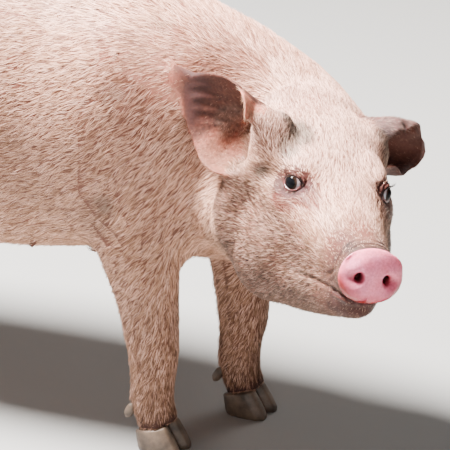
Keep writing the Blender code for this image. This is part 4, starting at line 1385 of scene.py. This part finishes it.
def addNoise(tree, scale, detail=3.0, rough=0.55):
    place = tree.nodes.new("ShaderNodeTexCoord")
    noise = tree.nodes.new("ShaderNodeTexNoise")
    noise.inputs["Scale"].default_value = scale
    noise.inputs["Detail"].default_value = detail
    noise.inputs["Roughness"].default_value = rough
    tree.links.new(place.outputs["Object"], noise.inputs["Vector"])
    return noise.outputs["Fac"]


def ranged(tree, value, low, high, fromLow=0.35, fromHigh=0.65):
    span = tree.nodes.new("ShaderNodeMapRange")
    for name, number in (("From Min", fromLow), ("From Max", fromHigh), ("To Min", low), ("To Max", high)):
        span.inputs[name].default_value = number
    tree.links.new(value, span.inputs["Value"])
    return span.outputs["Result"]


def blend(tree, kind, share, first, second):
    node = tree.nodes.new("ShaderNodeMix")
    node.data_type = "RGBA"
    node.blend_type = kind
    node.clamp_result = False
    for socket, value in ((node.inputs[0], share), (node.inputs[6], first), (node.inputs[7], second)):
        if hasattr(value, "links"):
            tree.links.new(value, socket)
        else:
            socket.default_value = value
    return node.outputs[2]


def bumps(tree, shader, layers):
    # one bump over another: height, strength and distance of each
    before = None
    for height, strength, distance in layers:
        bump = tree.nodes.new("ShaderNodeBump")
        bump.inputs["Strength"].default_value = strength
        bump.inputs["Distance"].default_value = distance
        tree.links.new(height, bump.inputs["Height"])
        if before:
            tree.links.new(before, bump.inputs["Normal"])
        before = bump.outputs["Normal"]
    tree.links.new(before, shader.inputs["Normal"])


def readTint(tree):
    attribute = tree.nodes.new("ShaderNodeAttribute")
    attribute.attribute_name = "tint"
    return attribute.outputs


def makeSkinMaterial():
    material, tree, shader = newMaterial("pigSkin", 0.52)
    blotch, fine = addNoise(tree, 34, 4), addNoise(tree, 420, 3)
    tint = readTint(tree)
    colour = blend(tree, "MULTIPLY", ranged(tree, blotch, 0.0, 0.6), tint["Color"], (0.95, 0.62, 0.56, 1))
    colour = blend(tree, "MULTIPLY", ranged(tree, fine, 0.0, 0.45), colour, (0.6, 0.48, 0.44, 1))
    tree.links.new(colour, shader.inputs["Base Color"])
    # the wet places, held in the tint's alpha, are glossier
    tree.links.new(ranged(tree, tint["Alpha"], 0.6, 0.2, 0.0, 1.0), shader.inputs["Roughness"])
    tree.links.new(ranged(tree, tint["Alpha"], 0.0, 0.4, 0.0, 1.0), shader.inputs["Coat Weight"])
    shader.inputs["Coat Roughness"].default_value = 0.22
    shader.inputs["Specular IOR Level"].default_value = 0.12
    shader.inputs["Subsurface Weight"].default_value = 0.16
    shader.inputs["Subsurface Radius"].default_value = (1.0, 0.35, 0.2)
    shader.inputs["Subsurface Scale"].default_value = 0.006
    bumps(tree, shader, [(addNoise(tree, 160, 4), 0.25, 0.0012), (fine, 0.35, 0.0005),
                         (addNoise(tree, 1100, 2), 0.25, 0.0003)])
    return material


def makeCoatMaterial():
    material, tree, shader = newMaterial("bristle", 0.42)
    colour = blend(tree, "MULTIPLY", ranged(tree, addNoise(tree, 120, 2), 0.0, 0.25),
                   readTint(tree)["Color"], (0.75, 0.66, 0.58, 1))
    tree.links.new(colour, shader.inputs["Base Color"])
    shader.inputs["Specular IOR Level"].default_value = 0.12
    return material


skinMaterial = makeSkinMaterial()
coatMaterial = makeCoatMaterial()
skin.data.materials.clear()
skin.data.materials.append(skinMaterial)
coatPieces = []
for name, regionNames in (("trunk", ("trunk",)), ("neck", ("neck",)), ("head", ("head", "snout_disc", "eye")),
                          ("ears", ("ear",)), ("legs", ("upper", "lower", "foot")), ("tail", ("tail",))):
    for kind in ("straight", "bent"):
        label = name if kind == "straight" else name + "_long"
        coatPieces += addCoat(label, regionNames, kind)
triangles = sum(len(piece.data.polygons) for piece in coatPieces)
report(f"grew the coat, {len(coatPieces)} pieces, {triangles} triangles")


# ---- claws

clawForm = {"voxel": 0.0011, "passes": 8, "swell": 0.0006}


def makeClaws(leg):
    # the four claws of one foot, rounded off
    nodes = [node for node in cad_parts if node.startswith(leg) and "claw" in node]
    whole = bmesh.new()
    for node in nodes:
        addTo(whole, mergedCopy(node))
    claws = melt(leg + "_claws", whole, clawForm["voxel"])
    points, edges = readMesh(claws.data)
    points = spread(points, edges, clawForm["passes"])
    writePoints(claws.data, points)
    points += readNormals(claws.data) * clawForm["swell"]
    points[:, 2] = np.maximum(points[:, 2], 0.0)
    writePoints(claws.data, points)
    claws.data.materials.clear()
    claws.data.materials.append(hornMaterial)
    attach(claws, "root")
    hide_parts(*nodes)


def makeHornMaterial():
    material, tree, shader = newMaterial("clawHorn", 0.45)
    place = tree.nodes.new("ShaderNodeTexCoord")
    wave = tree.nodes.new("ShaderNodeTexWave")
    wave.wave_type = "BANDS"
    wave.bands_direction = "Z"
    wave.inputs["Scale"].default_value = 230
    wave.inputs["Distortion"].default_value = 7
    wave.inputs["Detail"].default_value = 2
    tree.links.new(place.outputs["Object"], wave.inputs["Vector"])
    colour = blend(tree, "MIX", ranged(tree, addNoise(tree, 60, 4), 0.0, 1.0),
                   (0.05, 0.032, 0.022, 1), (0.15, 0.1, 0.068, 1))
    colour = blend(tree, "MULTIPLY", 0.12, colour, wave.outputs["Color"])
    tree.links.new(colour, shader.inputs["Base Color"])
    bumps(tree, shader, [(wave.outputs["Fac"], 0.12, 0.0003), (addNoise(tree, 500, 3), 0.3, 0.0003)])
    return material


hornMaterial = makeHornMaterial()
for leg in legNames:
    makeClaws(leg)
report("rounded the claws")


# ---- eyes

ballForm = {"radius": 0.0117, "cornea": 0.0009, "corneaAngle": 36.0, "gazeBack": 8.0,
            "pupilWide": 0.0062, "pupilTall": 0.0055, "iris": 0.0076}


def makeEyeMaterial(side):
    # pupil, iris and white by the distance from the line of sight
    material, tree, shader = newMaterial(side + "EyeBall", 0.08)
    axes, middle = eyeFrame(side)
    sight = Matrix(axes.tolist()) @ Matrix.Rotation(math.radians(-ballForm["gazeBack"]), 3, "Z")
    place = tree.nodes.new("ShaderNodeTexCoord")
    turn = tree.nodes.new("ShaderNodeMapping")
    turn.vector_type = "TEXTURE"
    turn.inputs["Location"].default_value = middle
    turn.inputs["Rotation"].default_value = properTurn(sight).to_euler()
    tree.links.new(place.outputs["Object"], turn.inputs["Vector"])
    split = tree.nodes.new("ShaderNodeSeparateXYZ")
    tree.links.new(turn.outputs["Vector"], split.inputs["Vector"])

    def distance(wide, tall):
        join = tree.nodes.new("ShaderNodeCombineXYZ")
        for output, half, socket in (("Y", wide, "X"), ("Z", tall, "Y")):
            scaled = tree.nodes.new("ShaderNodeMath")
            scaled.operation = "DIVIDE"
            scaled.inputs[1].default_value = half
            tree.links.new(split.outputs[output], scaled.inputs[0])
            tree.links.new(scaled.outputs[0], join.inputs[socket])
        size = tree.nodes.new("ShaderNodeVectorMath")
        size.operation = "LENGTH"
        tree.links.new(join.outputs["Vector"], size.inputs[0])
        return size.outputs["Value"]

    fromPupil = distance(ballForm["pupilWide"], ballForm["pupilTall"])
    fromIris = distance(ballForm["iris"], ballForm["iris"])
    streaks = addNoise(tree, 900, 3)
    white = blend(tree, "MIX", ranged(tree, addNoise(tree, 260, 3), 0.0, 0.8),
                  (0.5, 0.52, 0.6, 1), (0.4, 0.22, 0.21, 1))
    iris = blend(tree, "MIX", ranged(tree, streaks, 0.0, 1.0),
                 (0.01, 0.005, 0.003, 1), (0.045, 0.021, 0.011, 1))
    iris = blend(tree, "MIX", ranged(tree, fromIris, 0.0, 1.0, 0.78, 1.0), iris, (0.035, 0.022, 0.018, 1))
    colour = blend(tree, "MIX", ranged(tree, fromIris, 0.0, 1.0, 0.97, 1.1), iris, white)
    colour = blend(tree, "MIX", ranged(tree, fromPupil, 1.0, 0.0, 0.92, 1.08),
                   colour, (0.004, 0.004, 0.005, 1))
    tree.links.new(colour, shader.inputs["Base Color"])
    shader.inputs["Coat Weight"].default_value = 0.32
    shader.inputs["Coat Roughness"].default_value = 0.02
    shader.inputs["Coat IOR"].default_value = 1.28
    shader.inputs["Specular IOR Level"].default_value = 0.0
    shader.inputs["Roughness"].default_value = 0.4
    return material


def properTurn(matrix):
    # a mirrored frame can't be a rotation, so its Y axis is turned round
    if matrix.determinant() > 0:
        return matrix
    return Matrix([[row[0], -row[1], row[2]] for row in matrix])


def makeEye(side):
    axes, middle = eyeFrame(side)
    bm = bmesh.new()
    bmesh.ops.create_uvsphere(bm, u_segments=64, v_segments=40, radius=ballForm["radius"])
    bmesh.ops.rotate(bm, verts=bm.verts, matrix=Matrix.Rotation(math.radians(90), 3, "Y"))
    sight = properTurn(Matrix(axes.tolist()) @ Matrix.Rotation(math.radians(-ballForm["gazeBack"]), 3, "Z"))
    edge = math.radians(ballForm["corneaAngle"])
    for vert in bm.verts:
        angle = math.acos(max(-1, min(1, vert.co.x / ballForm["radius"])))
        if angle < edge:
            dome = math.cos(angle / edge * math.pi / 2) ** 1.3
            vert.co *= 1 + ballForm["cornea"] / ballForm["radius"] * dome
    bmesh.ops.transform(bm, verts=bm.verts, matrix=Matrix.Translation(Vector(middle)) @ sight.to_4x4())
    bmesh.ops.recalc_face_normals(bm, faces=bm.faces)
    ball = objectFrom("eyeball_" + side, bm)
    ball.data.materials.append(makeEyeMaterial(side))
    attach(ball, "root")
    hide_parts("eye_" + side)


for side in sides:
    makeEye(side)
report("set the eyes")


# ---- camera, floor and lights

viewForm = {"azimuth": 26.0, "elevation": 21.0, "distance": 2.2, "lens": 192.8,
            "aimLeft": 0.1354, "aimUp": 0.0489}


def makeCamera():
    azimuth, elevation = (math.radians(viewForm[name]) for name in ("azimuth", "elevation"))
    back = Vector((math.sin(azimuth) * math.cos(elevation), -math.cos(azimuth) * math.cos(elevation),
                   math.sin(elevation)))
    right = Vector((math.cos(azimuth), math.sin(azimuth), 0))
    up = back.cross(right)
    nose = Vector(headOrigin)
    place = nose + back * viewForm["distance"]
    away = (place - (nose - right * viewForm["aimLeft"] + up * viewForm["aimUp"])).normalized()
    right = (right - away * right.dot(away)).normalized()
    camera = bpy.data.objects.new("camera", bpy.data.cameras.new("camera"))
    bpy.context.scene.collection.objects.link(camera)
    camera.matrix_world = Matrix.Translation(place) @ Matrix(
        (right, away.cross(right), away)).transposed().to_4x4()
    camera.data.lens = viewForm["lens"]
    camera.data.clip_end = 40
    bpy.context.scene.camera = camera


lightTarget = (0.1, 0, 0.3)
lights = {
    # place, power in watts, size and colour
    "key": ((-0.95, -0.5, 3.2), 1380, 1.1, (1.0, 0.97, 0.94)),
    "fill": ((1.6, -3.0, 1.5), 25, 1.6, (1.0, 0.98, 0.96)),
    "rim": ((0.6, 2.4, 2.2), 34, 1.6, (1.0, 0.98, 0.95)),
}
studioForm = {"floor": (0.27, 0.266, 0.258, 1), "floorHalf": 9.0,
              "air": (0.92, 0.91, 0.92, 1), "airStrength": 0.17}


def makeLight(name, place, power, size, colour):
    light = bpy.data.lights.new(name, "AREA")
    light.shape = "DISK"
    light.size = size
    light.energy = power
    light.color = colour
    obj = bpy.data.objects.new(name, light)
    bpy.context.scene.collection.objects.link(obj)
    obj.location = place
    obj.rotation_euler = (Vector(place) - Vector(lightTarget)).to_track_quat("Z", "Y").to_euler()


def makeFloor():
    bm = bmesh.new()
    bmesh.ops.create_grid(bm, x_segments=2, y_segments=2, size=studioForm["floorHalf"])
    floor = objectFrom("floor", bm)
    material, _, shader = newMaterial("paleFloor", 0.9)
    shader.inputs["Base Color"].default_value = studioForm["floor"]
    floor.data.materials.append(material)


makeCamera()
makeFloor()
for name, form in lights.items():
    makeLight(name, *form)
world = bpy.data.worlds.new("studio")
world.use_nodes = True
world.node_tree.nodes["Background"].inputs["Color"].default_value = studioForm["air"]
world.node_tree.nodes["Background"].inputs["Strength"].default_value = studioForm["airStrength"]
bpy.context.scene.world = world
